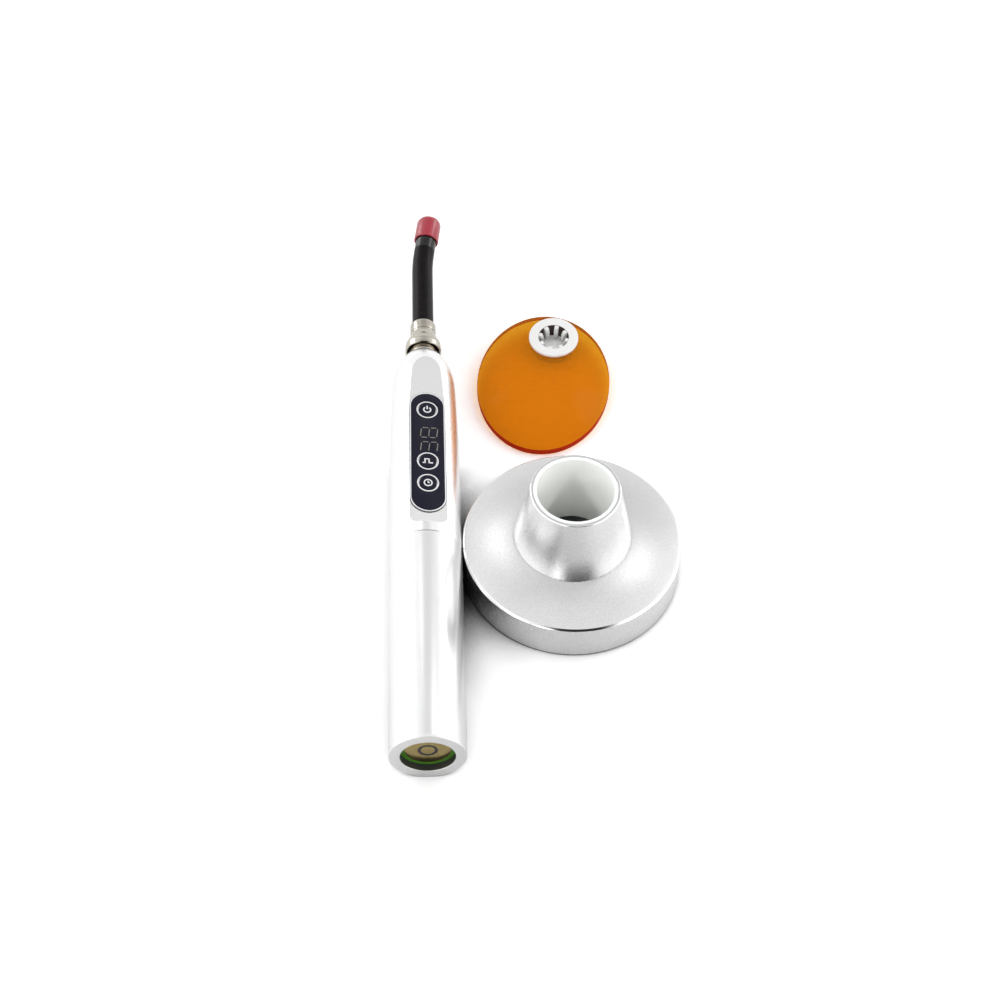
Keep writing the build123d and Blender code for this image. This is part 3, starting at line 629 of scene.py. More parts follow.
def tinted_sheet(name, colour, shade, clear, roughness=0.06):
    """Tinted clear plastic that lets tinted light through to what it lies on."""
    material = finish(
        name, colour, roughness, shade, fine=400, bump=0.0, transmission=clear, ior=1.12, specular=0.04
    )
    nodes, links = material.node_tree.nodes, material.node_tree.links
    path = nodes.new("ShaderNodeLightPath")
    through = nodes.new("ShaderNodeBsdfTransparent")
    through.inputs["Color"].default_value = (*[c ** 0.5 for c in colour], 1)
    mix = nodes.new("ShaderNodeMixShader")
    links.new(path.outputs["Is Shadow Ray"], mix.inputs["Fac"])
    links.new(nodes["Principled BSDF"].outputs["BSDF"], mix.inputs[1])
    links.new(through.outputs["BSDF"], mix.inputs[2])
    links.new(mix.outputs["Shader"], nodes["Material Output"].inputs["Surface"])
    return material


# Carried-over nodes, each with its finish
NODE_FINISHES = {
    plain_steel: (
        "tower_nut", "socket_clip", "base_screws", "ballast_ring", "battery_spring", "keypad_screws",
    ),
    gold: ("pin_barrels", "charge_pin_centre", "charge_pin_left", "charge_pin_right", "front_contact"),
    board_green: ("charge_board", "jack_board", "keypad_board", "main_board"),
    black_plastic: (
        "contact_block", "bottom_plate", "dc_jack", "board_retainer", "contact_disc",
        "tact_switches", "board_headers", "lens_barrel", "display_module",
    ),
    black_rubber: ("anti_slip_pad", "grip_ring"),
    polished_nickel: ("jack_pin",),
    grey_plastic: ("battery_sleeve",),
    cell_wrap: ("battery_cell",),
    grey_metal: ("heat_sink", "joint_ring"),
    white_plastic: ("led_board", "hub_lock_ring"),
    clear_glass: ("led_emitter", "collimator_lens", "guide_core"),
}


class CURING_OT_inner_pieces(bpy.types.Operator):
    """Give the carried-over pieces their finishes"""

    bl_idname = "curing.inner_pieces"
    bl_label = "Inner Pieces"

    def execute(self, context):
        for maker, names in NODE_FINISHES.items():
            for name in names:
                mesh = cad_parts[name].data
                mesh.materials.clear()
                mesh.materials.append(maker())
        return {"FINISHED"}


class CURING_OT_rear_tube(bpy.types.Operator):
    """Build the rear tube, the ring at its end and the charging contacts"""

    bl_idname = "curing.rear_tube"
    bl_label = "Rear Tube"

    def execute(self, context):
        r = Sizes(context.scene.curing_wand).barrel
        tube = turned(
            polygon(
                [(TUBE_BORE_R, END_FACE), (r, END_FACE), (r, SEAM[0]), (TUBE_BORE_R, SEAM[0])],
                [(2, EDGE_CHAMFER)],
            )
        )
        piece(
            "rear_tube", tube, "wand", "satin_aluminium", bright_silver(), place=WAND,
            nodes=["battery_tube"],
        )
        end = turned(
            polygon(
                [
                    (RECESS_R, 0), (r, 0), (r, END_FACE), (TUBE_BORE_R, END_FACE), (TUBE_BORE_R, END_LENGTH),
                    (BOARD_R, END_LENGTH), (BOARD_R, RECESS_DEPTH), (RECESS_R, RECESS_DEPTH),
                ],
                [(1, 0.35), (0, 0.2)],
            )
        )
        # Painted shade: the recess's inner wall takes the black plastic, standing in for the dark gap under
        # the board's edge.
        paint(end, 1, lambda at: at.xz.length < RECESS_R + 0.1 and at.y > 0.25)
        piece(
            "contact_end", end, "wand", "grey_aluminium", grey_metal(), black_plastic(), place=WAND,
            nodes=["end_ring"],
        )
        board = turned(
            polygon([(0, RECESS_DEPTH), (BOARD_R, RECESS_DEPTH), (BOARD_R, BOARD_BACK), (0, BOARD_BACK)])
        )
        piece("round_board", board, "wand", "green_board", board_green(), place=WAND, nodes=["contact_board"])
        pads = (
            ("pad_ring", 3.5, 8.0, "gold", gold, [(1, PAD_EDGE)]),
            ("pad_insulator", 2.45, 3.5, "black_plastic", black_plastic, []),
            ("pad_centre", 0, 2.45, "gold", gold, [(1, PAD_EDGE)]),
        )
        for name, inner, outer, slot, maker, rounds in pads:
            pad = polygon(
                [(inner, PAD_FACE), (outer, PAD_FACE), (outer, RECESS_DEPTH), (inner, RECESS_DEPTH)], rounds
            )
            piece(name, turned(pad), "wand", slot, maker(), place=WAND, nodes=["contact_" + name])
        return {"FINISHED"}


class CURING_OT_housing(bpy.types.Operator):
    """Build the front housing with its keypad pocket"""

    bl_idname = "curing.housing"
    bl_label = "Front Housing"

    def execute(self, context):
        s = Sizes(context.scene.curing_wand)
        r, rim = s.barrel, s.nose
        nose_r, nose_at = NOSE
        drop, run = r - nose_r, nose_at - SHOULDER
        long_r = (drop**2 + run**2) / (2 * drop)
        long_angle = degrees(asin(run / long_r))
        lean = radians(long_angle)
        chord = Vector((rim - nose_r, HOUSING_FRONT - nose_at))
        inward = Vector((-cos(lean), -sin(lean)))
        nose_arc_r = chord.length_squared / (2 * chord.dot(inward))
        nose_angle = 2 * degrees(asin(chord.length / (2 * nose_arc_r)))
        outline = Outline(TUBE_BORE_R, SEAM[1]).to((r - EDGE_CHAMFER, SEAM[1]), (r, SEAM[1] + EDGE_CHAMFER))
        outline.to((r, POCKET_REAR), (r, SHOULDER))
        outline.swing((r - long_r, SHOULDER), long_angle, 24)
        centre = Vector((nose_r, nose_at)) + inward * nose_arc_r
        outline.swing(centre, nose_angle, 24)
        outline.to((NECK_R, HOUSING_FRONT), (NECK_R, NECK_SEAT), (8.6, 170), (CAVITY_R, 160), (CAVITY_R, 92))
        outline.to((TUBE_BORE_R, 90))
        body = turned(outline.close(), SHELL_STEPS)
        past_front, height = POCKET_CUT
        length = HOUSING_FRONT - POCKET_REAR + past_front
        pocket = block(
            (2 * POCKET_HALF_WIDTH, length, height), (0, POCKET_REAR + length / 2, FLAT + height / 2)
        )
        corners = [
            e for e in pocket.edges
            if abs(e.verts[0].co.z - e.verts[1].co.z) > 1 and e.verts[0].co.y < POCKET_REAR + 1
        ]
        bevel(pocket, corners, POCKET_CORNER, 10)
        piece(
            "housing_shell", cut(body, pocket), "wand", "satin_aluminium", bright_silver(), place=KEYPAD,
            nodes=["front_housing"], smooth=18,
        )
        return {"FINISHED"}


def stadium(half_width, low_end, high_end):
    """Edges of a flat stadium along +Y."""
    bm = bmesh.new()
    bmesh.ops.create_circle(bm, segments=STADIUM_STEPS, radius=half_width, cap_ends=False)
    for vert in bm.verts:
        vert.co.y += high_end - half_width if vert.co.y > 1e-6 else low_end + half_width
    return bm


def sheet(outer, holes, low, high, soft=0.0):
    """A flat sheet with holes, from closed edge loops."""
    bm = joined(outer, *holes)
    bmesh.ops.triangle_fill(bm, use_beauty=True, use_dissolve=True, edges=bm.edges[:], normal=(0, 0, 1))
    bmesh.ops.translate(bm, verts=bm.verts, vec=(0, 0, low))
    raised(bm, high - low)
    return soften(bm, soft, 50) if soft else bm


def circle(radius, x, y, steps=SMALL_STEPS):
    bm = bmesh.new()
    bmesh.ops.create_circle(bm, segments=steps, radius=radius, matrix=shift(x, y, 0), cap_ends=False)
    return bm


def stroke(length, width, x, y, angle, low, high):
    """A short printed line."""
    bar = block((length, width, high - low), (0, 0, (low + high) / 2))
    return moved(bar, shift(x, y, 0) @ turn(angle, "Z"))


def power_symbol(low, high):
    arc = moved(ring(1.05, 1.6, low, high, 28, 280), turn(130, "Z"))
    return joined(arc, stroke(1.7, 0.55, 0, 1.05, 90, low, high))


def mode_symbol(low, high):
    """A square pulse, as (x, y, length, angle) strokes."""
    lines = [
        (-1.5, -0.9, 0.9, 0), (-1.05, 0, 2.3, 90), (-0.3, 0.9, 1.7, 0), (0.45, 0, 2.3, 90),
        (1.15, -0.9, 1.6, 0),
    ]
    return joined(*[stroke(length, 0.55, x, y, angle, low, high) for x, y, length, angle in lines])


def timer_symbol(low, high):
    face = ring(1.2, 1.7, low, high, 36)
    return joined(face, stroke(1.0, 0.45, 0, 0.4, 90, low, high), stroke(0.8, 0.45, 0.3, 0, 0, low, high))


SYMBOLS = {"key_power": power_symbol, "key_mode": mode_symbol, "key_timer": timer_symbol}


def digit(middle, lit, low, high):
    """Segments of a digit that lies on its side, long axis across the wand."""
    x, y = middle
    half_long, half_short, width, lean = 3.1, 2.35, 0.4, 6
    bars = []
    for column in (-1, 0, 1):
        if column in lit:
            place = x + column * half_long
            bars.append(stroke(2 * half_short - 1.0, width, place, y, 90 - lean, low, high))
    for side in (-1, 1):
        for half in (-1, 1):
            if (side, half) in lit:
                place = x + half * half_long / 2 + side * 0.25
                bars.append(stroke(half_long - 1.0, width, place, y + side * half_short, 0, low, high))
    return joined(*bars)


class CURING_OT_keypad(bpy.types.Operator):
    """Build the printed film, its border, its rings and the display's segments"""

    bl_idname = "curing.keypad"
    bl_label = "Keypad Film"

    def execute(self, context):
        holes = [circle(KEY_HOLE_R, 0, along) for along in KEYS.values()]
        film = sheet(stadium(FILM_HALF_WIDTH, *FILM), holes, FLAT, FILM_TOP, soft=0.08)
        piece(
            "keypad_film", film, "wand", "navy_film", film_navy(), place=KEYPAD, nodes=["keypad_overlay"],
            smooth=30,
        )
        low, high = FILM_TOP - PRINT, FILM_TOP + PRINT
        inset, line = BORDER_INSET, BORDER_LINE
        border = sheet(
            stadium(FILM_HALF_WIDTH - inset, FILM[0] + inset, FILM[1] - inset),
            [stadium(FILM_HALF_WIDTH - inset - line, FILM[0] + inset + line, FILM[1] - inset - line)],
            low, high,
        )
        rings = [moved(ring(*RING, low, high), shift(0, along, 0)) for along in KEYS.values()]
        prints = joined(border, *rings)
        piece("film_prints", prints, "wand", "white_plastic", print_white(), place=KEYPAD, smooth=30)
        upper_at, lower_at = [(DIGITS_ACROSS, along) for along in DIGITS_ALONG]
        upper = digit(upper_at, {-1, 0, 1, (-1, -1), (-1, 1), (1, -1), (1, 1)}, low, high)
        lower = digit(lower_at, {-1, 0, 1, (1, -1), (1, 1)}, low, high)
        piece(
            "display_segments", joined(upper, lower), "wand", "display_dark", segment_grey(), place=KEYPAD,
            smooth=30,
        )
        return {"FINISHED"}


class CURING_OT_keys(bpy.types.Operator):
    """Build the three keys with their symbols"""

    bl_idname = "curing.keys"
    bl_label = "Keys"

    def execute(self, context):
        flange_r, low, high = KEY_FLANGE
        for name, along in KEYS.items():
            outline = polygon(
                [
                    (0, low), (flange_r, low), (flange_r, high), (KEY_R, high), (KEY_R, KEY_TOP),
                    (0, KEY_TOP + 0.02),
                ],
                [(4, 0.12)],
            )
            place = KEYPAD @ shift(0, along, 0)
            button = moved(turned(outline, SMALL_STEPS), UPRIGHT)
            piece(name + "_button", button, name, "key_navy", film_navy(), place=place, nodes=[name])
            symbol = SYMBOLS[name](KEY_TOP - 0.02, KEY_TOP + 0.05)
            piece(name + "_symbol", symbol, name, "white_plastic", print_white(), place=place)
        return {"FINISHED"}


class CURING_OT_lamp_head(bpy.types.Operator):
    """Build the polished neck and the bell-shaped ferrule"""

    bl_idname = "curing.lamp_head"
    bl_label = "Neck and Ferrule"

    def execute(self, context):
        rim = Sizes(context.scene.curing_wand).ferrule
        collar_r, rear, flat_end, flare_end = 5.1, 184.5, 186.5, 193.8
        neck = polygon(
            [
                (GUIDE_BORE_R, 174), (7.4, 174), (7.4, NECK_SEAT), (NECK_R, NECK_SEAT), (NECK_R, 190.5),
                (GUIDE_BORE_R, 190.5),
            ],
            [(4, 0.3)],
        )
        piece("polished_neck", turned(neck), "wand", "nickel", polished_nickel(), place=WAND, nodes=["neck"])
        bell = Outline(6.6, rear)
        bell.to((rim - EDGE_CHAMFER, rear), (rim, rear + EDGE_CHAMFER), (rim, flat_end))
        bell.glide((collar_r, flare_end), 12)
        bell.to((collar_r, 193.9), (collar_r - 0.25, 194.0), (collar_r - 0.25, 194.3), (collar_r, 194.4))
        bell.to((collar_r, 198.2)).swing((collar_r - 0.8, 198.2), 90, 6)
        bell.to((4.25, 199), (4.25, 191), (5.68, 191), (5.68, 188.1), (6.41, 188.1), (6.41, 186.5))
        bell.to((6.0, 186.5), (6.0, 185.3))
        piece(
            "ferrule_bell", turned(bell.close()), "light_guide", "nickel", polished_nickel(), place=BEND,
            nodes=["guide_ferrule"], smooth=28,
        )
        return {"FINISHED"}


class CURING_OT_light_guide(bpy.types.Operator):
    """Build the bent black sheath of the light guide"""

    bl_idname = "curing.light_guide"
    bl_label = "Light Guide"

    def execute(self, context):
        r = Sizes(context.scene.curing_wand).guide
        bm = bmesh.new()
        bmesh.ops.create_circle(
            bm, segments=64, radius=r, matrix=shift(0, GUIDE_REAR, 0) @ turn(90, "X"), cap_ends=False
        )

        def extended(edges, way, count):
            for _ in range(count):
                made = bmesh.ops.extrude_edge_only(bm, edges=edges)["geom"]
                verts = only(bmesh.types.BMVert, made)
                bmesh.ops.translate(bm, verts=verts, vec=way / count)
                edges = [e for e in only(bmesh.types.BMEdge, made) if all(v in verts for v in e.verts)]
            return edges

        edges = extended(bm.edges[:], Vector((0, BEND_START - GUIDE_REAR, 0)), 12)
        made = bmesh.ops.spin(
            bm, geom=edges, cent=(0, BEND_START, BEND_R), axis=(1, 0, 0), angle=radians(BEND_ANGLE), steps=14
        )
        edges = only(bmesh.types.BMEdge, made["geom_last"])
        tip = radians(BEND_ANGLE)
        straight = CAP_ALONG + CAP_LENGTH - CAP_ROOF - CAP_GAP
        edges = extended(edges, Vector((0, cos(tip), sin(tip))) * straight, 4)
        bmesh.ops.holes_fill(bm, edges=[e for e in bm.edges if e.is_boundary], sides=0)
        bmesh.ops.recalc_face_normals(bm, faces=bm.faces)
        shine_start = BEND_START + BEND_R * sin(tip)
        paint(bm, 1, lambda at: at.y > shine_start)
        piece(
            "guide_tube", bm, "light_guide", "guide_black", guide_black(), guide_shine(), place=BEND,
            nodes=["guide_sheath"],
        )
        return {"FINISHED"}


def cap_place():
    tip = radians(BEND_ANGLE)
    y = BEND_START + BEND_R * sin(tip) + CAP_ALONG * cos(tip)
    z = BEND_R * (1 - cos(tip)) + CAP_ALONG * sin(tip)
    return BEND @ shift(0, y, z) @ turn(BEND_ANGLE, "X")


class CURING_OT_tip_cap(bpy.types.Operator):
    """Build the soft cap on the tip"""

    bl_idname = "curing.tip_cap"
    bl_label = "Tip Cap"

    def execute(self, context):
        r = Sizes(context.scene.curing_wand).cap
        inner, bore = CAP_LENGTH - CAP_ROOF, GUIDE_BORE_R
        cap = polygon(
            [
                (bore, 0), (r, 0), (r, 10.6), (2.4, 11.1), (0.9, 11.75), (0, CAP_LENGTH), (0, inner),
                (bore, inner),
            ],
            [(4, 0.5), (3, 0.9), (2, 1.9), (1, 0.35), (0, 0.2)],
        )
        piece(
            "soft_cap", turned(cap, 96), "tip_cap", "cap_red", cap_red(), place=cap_place(),
            nodes=["tip_cap"], smooth=60,
        )
        return {"FINISHED"}


class CURING_OT_base_shell(bpy.types.Operator):
    """Build the dome and skirt of the charging base"""

    bl_idname = "curing.base_shell"
    bl_label = "Base Shell"

    def execute(self, context):
        s = Sizes(context.scene.curing_base)
        r, skirt, dome, foot = s.radius, s.skirt, s.dome, s.foot
        rim_r, rim_top = r - RIM_CHAMFER, skirt + RIM_CHAMFER
        plate_wall, plate_top = PLATE_SEAT
        outline = Outline(STEM_R, dome - SHELL_WALL).to((STEM_R, dome), (foot, dome))
        outline.arc(((rim_r + foot) / 2, (rim_top + dome) / 2 + 0.5), (rim_r, rim_top), 20)
        outline.to((r, skirt), (r, FOOT + 0.3), (r - 0.3, FOOT), (r - plate_wall, FOOT))
        outline.to((r - plate_wall, plate_top), (r - SHELL_WALL, plate_top), (r - SHELL_WALL, WALL_TOP))
        outline.to((25.0, dome - SHELL_WALL))
        shell = turned(outline.close(), SHELL_STEPS)
        edge = [
            e for e in shell.edges
            if e.is_manifold and e.calc_face_angle() > radians(20)
            and all(abs(v.co.y - skirt) < 0.01 or abs(v.co.y - rim_top) < 0.01 for v in e.verts)
        ]
        bevel(shell, edge, 0.12, 3)
        paint(shell, 1, lambda at: r - 0.8 < at.xz.length < r - 0.01 and skirt - 0.1 < at.y < rim_top + 0.1)
        moved(shell, UPRIGHT)
        inner, outer = INLET_ALONG
        inlet = turned(polygon([(0, inner), (INLET_R, inner), (INLET_R, outer), (0, outer)]), 64)
        piece(
            "dome_and_skirt", cut(shell, moved(inlet, shift(0, 0, INLET_HEIGHT))), "base", "satin_aluminium",
            satin_silver(), cut_edge(), nodes=["base_shell"], smooth=25,
        )
        return {"FINISHED"}


class CURING_OT_tower(bpy.types.Operator):
    """Build the conical tower and the liner of its socket"""

    bl_idname = "curing.tower"
    bl_label = "Socket Tower"

    def execute(self, context):
        s = Sizes(context.scene.curing_base)
        tower = turned(
            polygon(
                [
                    (TOWER_BORE_R, TOWER_LOW), (STEM_R, TOWER_LOW), (STEM_R, s.dome),
                    (s.foot - TOWER_CHAMFER, s.dome), (s.foot, s.dome + TOWER_CHAMFER),
                    (s.mouth, s.top), (TOWER_BORE_R, s.top),
                ],
                [(6, 0.2), (5, 0.4)],
            ),
            224,
        )
        paint(tower, 1, lambda at: at.y > s.top - 0.45 and at.xz.length > TOWER_BORE_R + 0.05)
        piece(
            "tower", tower, "base", "satin_aluminium", satin_silver(), cut_edge(), place=UPRIGHT,
            nodes=["tower_cone"], smooth=25,
        )
        top = s.top + LINER_PROUD
        liner = polygon(
            [
                (LINER_R, LINER_LOW), (LINER_R + 0.2, LINER_LOW), (LINER_R + 0.2, LINER_STEP),
                (TOWER_BORE_R, LINER_STEP), (TOWER_BORE_R, top), (LINER_R, top),
            ],
            [(5, 0.5), (4, 0.35)],
        )
        piece(
            "socket_sleeve", turned(liner), "base", "white_plastic", liner_white(), place=UPRIGHT,
            nodes=["socket_liner"],
        )
        return {"FINISHED"}


class CURING_OT_eye_shield(bpy.types.Operator):
    """Build the tinted oval sheet"""

    bl_idname = "curing.eye_shield"
    bl_label = "Eye Shield"

    def execute(self, context):
        s = Sizes(context.scene.curing_shield)
        oval = circle(1, 0, 0, 160)
        bmesh.ops.transform(oval, matrix=Matrix.Diagonal((s.width, s.length, 1, 1)), verts=oval.verts)
        plate = sheet(oval, [circle(HUB_SLEEVE_R, *HUB_AT, 96)], 0, s.thickness, soft=0.3)
        for face in plate.faces:
            face.material_index = 0 if abs(face.normal.z) > 0.9 else 1
        colour = context.scene.curing_finish.shield
        piece(
            "shield_sheet", plate, "shield", "orange_shield",
            tinted_sheet("Orange sheet", colour, [c * 0.94 for c in colour], 0.85),
            tinted_sheet("Sheet edge", (0.55, 0.03, 0.012), (0.45, 0.02, 0.01), 0.3, 0.2),
            place=SHIELD, nodes=["shield_disc"],
        )
        return {"FINISHED"}


class CURING_OT_shield_hub(bpy.types.Operator):
    """Build the white hub with its gripping fingers, and painted shade in its bore"""

    bl_idname = "curing.shield_hub"
    bl_label = "Shield Hub"

    def execute(self, context):
        s = Sizes(context.scene.curing_shield)
        top = s.thickness + HUB_PROUD
        flange = polygon(
            [
                (HUB_BORE_R, -HUB_DROP), (HUB_BORE_R, top), (s.hub, top), (s.hub, s.thickness),
                (HUB_SLEEVE_R, s.thickness), (HUB_SLEEVE_R, -HUB_DROP),
            ],
            [(2, 0.45), (1, 0.2)],
        )
        hub = turned(flange, 128)
        # The bore's inner wall gets the painted shade of the slots between the fingers.
        paint(hub, 1, lambda at: at.xz.length < HUB_BORE_R + 0.05 and at.y < top - 0.15)
        moved(hub, UPRIGHT)
        fingers = []
        for i in range(FINGERS):
            finger = polygon(FINGER_OUTLINE)
            bmesh.ops.contextual_create(finger, geom=finger.edges[:])
            soften(raised(finger, FINGER_WIDTH), 0.15, 40)
            about = turn(-8 + 360 / FINGERS * i, "Z") @ shift(0, 0, top)
            fingers.append(moved(finger, about @ turn(-90, "X") @ shift(0, 0, -FINGER_WIDTH / 2)))
        piece(
            "hub", joined(hub, *fingers), "shield", "white_plastic", white_plastic(), hub_bore_painted_shade(),
            place=HUB, nodes=["shield_hub"], smooth=30,
        )
        return {"FINISHED"}


FLOOR_LEVEL = -0.0001
# Brightness of the floor and the world, by the kind of ray that meets them
FLOOR_SEEN = 1.36
FLOOR_BOUNCE = 0.45
FLOOR_MIRRORED = 1.1
# Painted shade on the floor in front of the base, seen only in what metal mirrors: its level, its middle and
# where it fades out
FLOOR_MIRRORED_FRONT_SHADE = 0.74
FLOOR_FRONT_SHADE_MIDDLE = (-0.012, -0.112, 0.0)
FLOOR_FRONT_SHADE_REACH = (0.02, 0.12)
# Painted shade in the nooks between parts: the ambient occlusion range of its ramp, its reach, and where it
# fades out towards the back
NOOK_PAINTED_SHADE = (0.12, 0.68)
NOOK_PAINTED_SHADE_REACH = 0.03
NOOK_PAINTED_SHADE_END = (0.035, 0.048)
WORLD_AROUND = 0.44
WORLD_AROUND_SIDES = 1.2
WORLD_MIRRORED = 1.0

# Patches of the mirrored world: their gain over the plain level, their middle, and where their edges fade
COLUMN_GAIN, COLUMN_MIDDLE, COLUMN_WIDTH, COLUMN_ALONG = -0.97, 0.14, (0.58, 0.25), (-0.25, -0.7)
BAND_GAIN, BAND_MIDDLE, BAND_WIDTH, BAND_ALONG = -0.34, 0.06, (0.5, 0.1), ((0.98, 0.72), (0.0, 0.5))
SIDES_GAIN, SIDES_WIDTH, SIDES_ALONG = 0.9, (0.42, 0.75), (0.5, 0.25)
STRIP_GAIN, STRIP_MIDDLE, STRIP_WIDTH, STRIP_ALONG = 2.4, 0.7, (0.1, 0.05), ((0.4, 0.48), (0.75, 0.68))
WINDOW_GAIN, WINDOW_MIDDLE, WINDOW_EDGE = 3.0, (-0.3, -0.91, 0.28), (0.965, 0.985)

# Each lamp: name, place, radius, brightness, target, radius lit there, and whether metal mirrors it
BASE_MIDDLE, BASE_LIT_R = (0, 0, 0.018), 0.042
BORE_MOUTH, BORE_LIT_R = (0, 0, 0.045), 0.016
LAMPS = (
    ("left_softbox", (-0.108, 0.233, 0.352), 0.065, 1.7, BASE_MIDDLE, BASE_LIT_R, True),
    ("right_softbox", (0.121, 0.193, 0.373), 0.125, 2.1, BASE_MIDDLE, BASE_LIT_R, True),
    ("bore_left", (-0.4, -0.1, 0.5), 0.026, 460, BORE_MOUTH, BORE_LIT_R, False),
    ("bore_right", (0.4, -0.1, 0.5), 0.026, 460, BORE_MOUTH, BORE_LIT_R, False),
    ("bore_front", (0.0, -0.55, 0.3), 0.02, 110, BORE_MOUTH, BORE_LIT_R, False),
)

CAMERA_AT = (-0.026888, -0.411355, 0.57277)
CAMERA_PITCH = 52.38
CAMERA_ROLL = 1.25
CAMERA_LENS = 67.626


def feed(tree, entry, value):
    """Link a socket, or set a plain number."""
    if isinstance(value, bpy.types.NodeSocket):
        tree.links.new(value, entry)
    else:
        entry.default_value = value


def calculated(tree, operation, *values):
    """A calculation on sockets or plain numbers."""
    node = tree.nodes.new("ShaderNodeMath")
    node.operation = operation
    for entry, value in zip(node.inputs, values):
        feed(tree, entry, value)
    return node.outputs["Value"]


def chosen(tree, share, usual, other):
    """The other value where the share is 1."""
    node = tree.nodes.new("ShaderNodeMix")
    for entry, value in ((0, share), (2, usual), (3, other)):
        feed(tree, node.inputs[entry], value)
    return node.outputs[0]


def eased(tree, value, low, high):
    """A smooth step from 0 at low to 1 at high."""
    node = tree.nodes.new("ShaderNodeMapRange")
    node.interpolation_type = "SMOOTHSTEP"
    node.inputs["From Min"].default_value = low
    node.inputs["From Max"].default_value = high
    tree.links.new(value, node.inputs["Value"])
    return node.outputs["Result"]


class CURING_OT_stage(bpy.types.Operator):
    """Build the floor, the lamps, the world and the camera"""

    bl_idname = "curing.stage"
    bl_label = "Stage"

    def execute(self, context):
        scene = context.scene
        scene.view_settings.view_transform = "Standard"
        bm = bmesh.new()
        bmesh.ops.create_grid(bm, x_segments=1, y_segments=1, size=3)
        mesh = bpy.data.meshes.new("floor")
        bm.to_mesh(mesh)
        bm.free()
        mesh.materials.append(self.floor_finish())
        floor = bpy.data.objects.new("floor", mesh)
        scene.collection.objects.link(floor)
        floor.location.z = FLOOR_LEVEL
        self.light_world(scene)
        for lamp in LAMPS:
            self.lamp(*lamp)
        self.add_camera(scene)
        return {"FINISHED"}

    @staticmethod
    def floor_finish():
        """White paper that keeps the shadows, with painted shade where parts crowd it, and a little darker in
        front where metal mirrors it, as painted shade.
        """
        material = bpy.data.materials.new("White floor")
        material.use_nodes = True
        tree = material.node_tree
        tree.nodes.remove(tree.nodes["Principled BSDF"])
        paper = tree.nodes.new("ShaderNodeBsdfDiffuse")
        place = tree.nodes.new("ShaderNodeTexCoord")
        path = tree.nodes.new("ShaderNodeLightPath")
        # Painted shade: in front of the base, the floor that metal mirrors is darker.
        away = tree.nodes.new("ShaderNodeVectorMath")
        away.operation = "DISTANCE"
        away.inputs[1].default_value = FLOOR_FRONT_SHADE_MIDDLE
        tree.links.new(place.outputs["Object"], away.inputs[0])
        far = eased(tree, away.outputs["Value"], *FLOOR_FRONT_SHADE_REACH)
        step = FLOOR_MIRRORED - FLOOR_MIRRORED_FRONT_SHADE
        mirrored = calculated(tree, "MULTIPLY_ADD", far, step, FLOOR_MIRRORED_FRONT_SHADE)
        level = FLOOR_BOUNCE
        for ray, value in (("Is Glossy Ray", mirrored), ("Is Camera Ray", FLOOR_SEEN)):
            level = chosen(tree, path.outputs[ray], level, value)
        # Painted shade: the floor's colour darkens where other parts crowd it, except towards the back.
        painted_nook_shade = tree.nodes.new("ShaderNodeAmbientOcclusion")
        painted_nook_shade.inputs["Distance"].default_value = NOOK_PAINTED_SHADE_REACH
        painted_nook_shade.samples = 8
        axes = tree.nodes.new("ShaderNodeSeparateXYZ")
        tree.links.new(place.outputs["Object"], axes.inputs["Vector"])
        unshaded_share = calculated(
            tree, "MAXIMUM", eased(tree, painted_nook_shade.outputs["AO"], *NOOK_PAINTED_SHADE), eased(tree, axes.outputs["Y"], *NOOK_PAINTED_SHADE_END)
        )
        level = calculated(tree, "MULTIPLY", level, unshaded_share)
        tree.links.new(level, paper.inputs["Color"])
        tree.links.new(paper.outputs["BSDF"], tree.nodes["Material Output"].inputs["Surface"])
        return material

    @staticmethod
    def light_world(scene):
        """What metal mirrors: a dark column and a window in front, a grey band overhead, bright sides."""
        world = bpy.data.worlds.new("Studio")
        scene.world = world
        world.use_nodes = True
        tree = world.node_tree
        background = tree.nodes["Background"]
        place = tree.nodes.new("ShaderNodeTexCoord")
        axes = tree.nodes.new("ShaderNodeSeparateXYZ")
        tree.links.new(place.outputs["Generated"], axes.inputs["Vector"])
        across, along = axes.outputs["X"], axes.outputs["Y"]
        aside = calculated(tree, "ABSOLUTE", across)

        facing = tree.nodes.new("ShaderNodeVectorMath")
        facing.operation = "DOT_PRODUCT"
        facing.inputs[1].default_value = WINDOW_MIDDLE
        tree.links.new(place.outputs["Generated"], facing.inputs[0])

        def apart(value, middle):
            return calculated(tree, "ABSOLUTE", calculated(tree, "SUBTRACT", value, middle))

        def patch(gain, *edges):
            """1, rising or falling by the gain where every edge lets it."""
            share = 1.0
            for value, limits in edges:
                share = calculated(tree, "MULTIPLY", share, eased(tree, value, *limits))
            return calculated(tree, "MULTIPLY_ADD", share, gain, 1.0)

        level = WORLD_MIRRORED
        for part in (
            patch(COLUMN_GAIN, (apart(across, COLUMN_MIDDLE), COLUMN_WIDTH), (along, COLUMN_ALONG)),
            patch(BAND_GAIN, (apart(across, BAND_MIDDLE), BAND_WIDTH), *[(along, e) for e in BAND_ALONG]),
            patch(SIDES_GAIN, (aside, SIDES_WIDTH), (along, SIDES_ALONG)),
            patch(STRIP_GAIN, (apart(aside, STRIP_MIDDLE), STRIP_WIDTH), *[(along, e) for e in STRIP_ALONG]),
            patch(WINDOW_GAIN, (facing.outputs["Value"], WINDOW_EDGE)),
        ):
            level = calculated(tree, "MULTIPLY", level, part)
        around = calculated(tree, "MULTIPLY_ADD", aside, WORLD_AROUND_SIDES, WORLD_AROUND)
        path = tree.nodes.new("ShaderNodeLightPath")
        for ray, strength in (("Is Diffuse Ray", around), ("Is Camera Ray", 1.0)):
            level = chosen(tree, path.outputs[ray], level, strength)
        tree.links.new(level, background.inputs["Strength"])
        background.inputs["Color"].default_value = (1, 1, 1, 1)

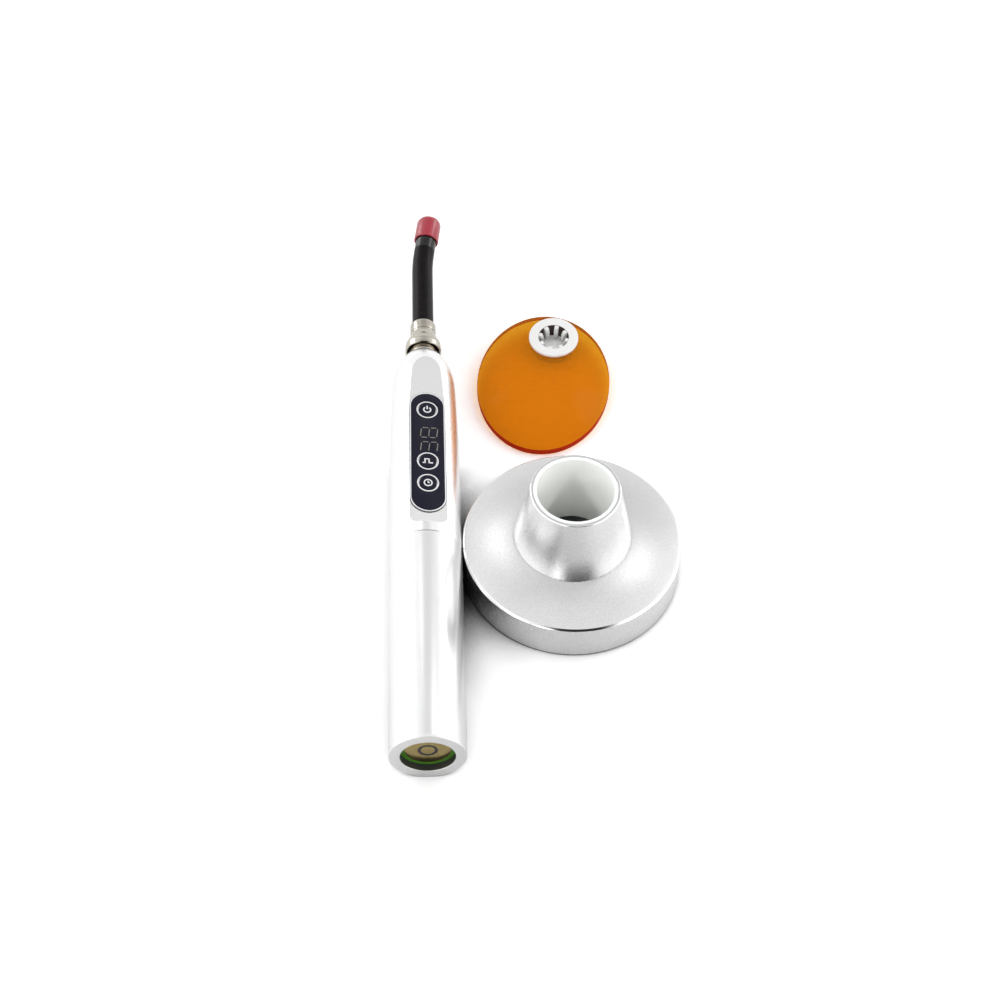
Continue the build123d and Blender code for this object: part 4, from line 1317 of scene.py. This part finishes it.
    @staticmethod
    def lamp(name, place, radius, radiance, target, lit_r, mirrored):
        data = bpy.data.lights.new(name, "SPOT")
        data.shadow_soft_size = radius
        data.energy = radiance * (2 * pi * radius) ** 2
        data.spot_blend = 0.15
        obj = bpy.data.objects.new(name, data)
        obj.location = place
        obj.visible_glossy = mirrored
        aim = Vector(target) - Vector(place)
        data.spot_size = 2 * atan(lit_r / aim.length)
        obj.rotation_mode = "QUATERNION"
        obj.rotation_quaternion = aim.to_track_quat("-Z", "Y")
        bpy.context.scene.collection.objects.link(obj)

    @staticmethod
    def add_camera(scene):
        data = bpy.data.cameras.new("camera")
        data.lens = CAMERA_LENS
        data.sensor_width = 36.0
        data.clip_start = 0.01
        data.clip_end = 20.0
        camera = bpy.data.objects.new("camera", data)
        camera.matrix_world = (
            Matrix.Translation(CAMERA_AT) @ turn(90 - CAMERA_PITCH, "X") @ turn(CAMERA_ROLL, "Z")
        )
        scene.collection.objects.link(camera)
        scene.camera = camera


MAKERS = (
    CURING_OT_inner_pieces, CURING_OT_rear_tube, CURING_OT_housing, CURING_OT_keypad, CURING_OT_keys,
    CURING_OT_lamp_head, CURING_OT_light_guide, CURING_OT_tip_cap, CURING_OT_base_shell, CURING_OT_tower,
    CURING_OT_eye_shield, CURING_OT_shield_hub, CURING_OT_stage,
)


class CURING_PT_panel(bpy.types.Panel):
    """Lists the makers and the sizes"""

    bl_label = "Curing Light"
    bl_idname = "CURING_PT_panel"
    bl_space_type = "VIEW_3D"
    bl_region_type = "UI"
    bl_category = "Curing Light"

    def draw(self, context):
        for maker in MAKERS:
            self.layout.operator(maker.bl_idname)
        for name in GROUPS:
            group = getattr(context.scene, name)
            for prop in type(group).__annotations__:
                self.layout.prop(group, prop)


def register():
    for cls in (*GROUPS.values(), *MAKERS, CURING_PT_panel):
        bpy.utils.register_class(cls)
    for name, cls in GROUPS.items():
        setattr(bpy.types.Scene, name, PointerProperty(type=cls))


def unregister():
    for name in GROUPS:
        delattr(bpy.types.Scene, name)
    for cls in reversed((*GROUPS.values(), *MAKERS, CURING_PT_panel)):
        bpy.utils.unregister_class(cls)


def main():
    register()
    for maker in MAKERS:
        group, name = maker.bl_idname.split(".")
        getattr(getattr(bpy.ops, group), name)()


if __name__ == "__main__":
    main()
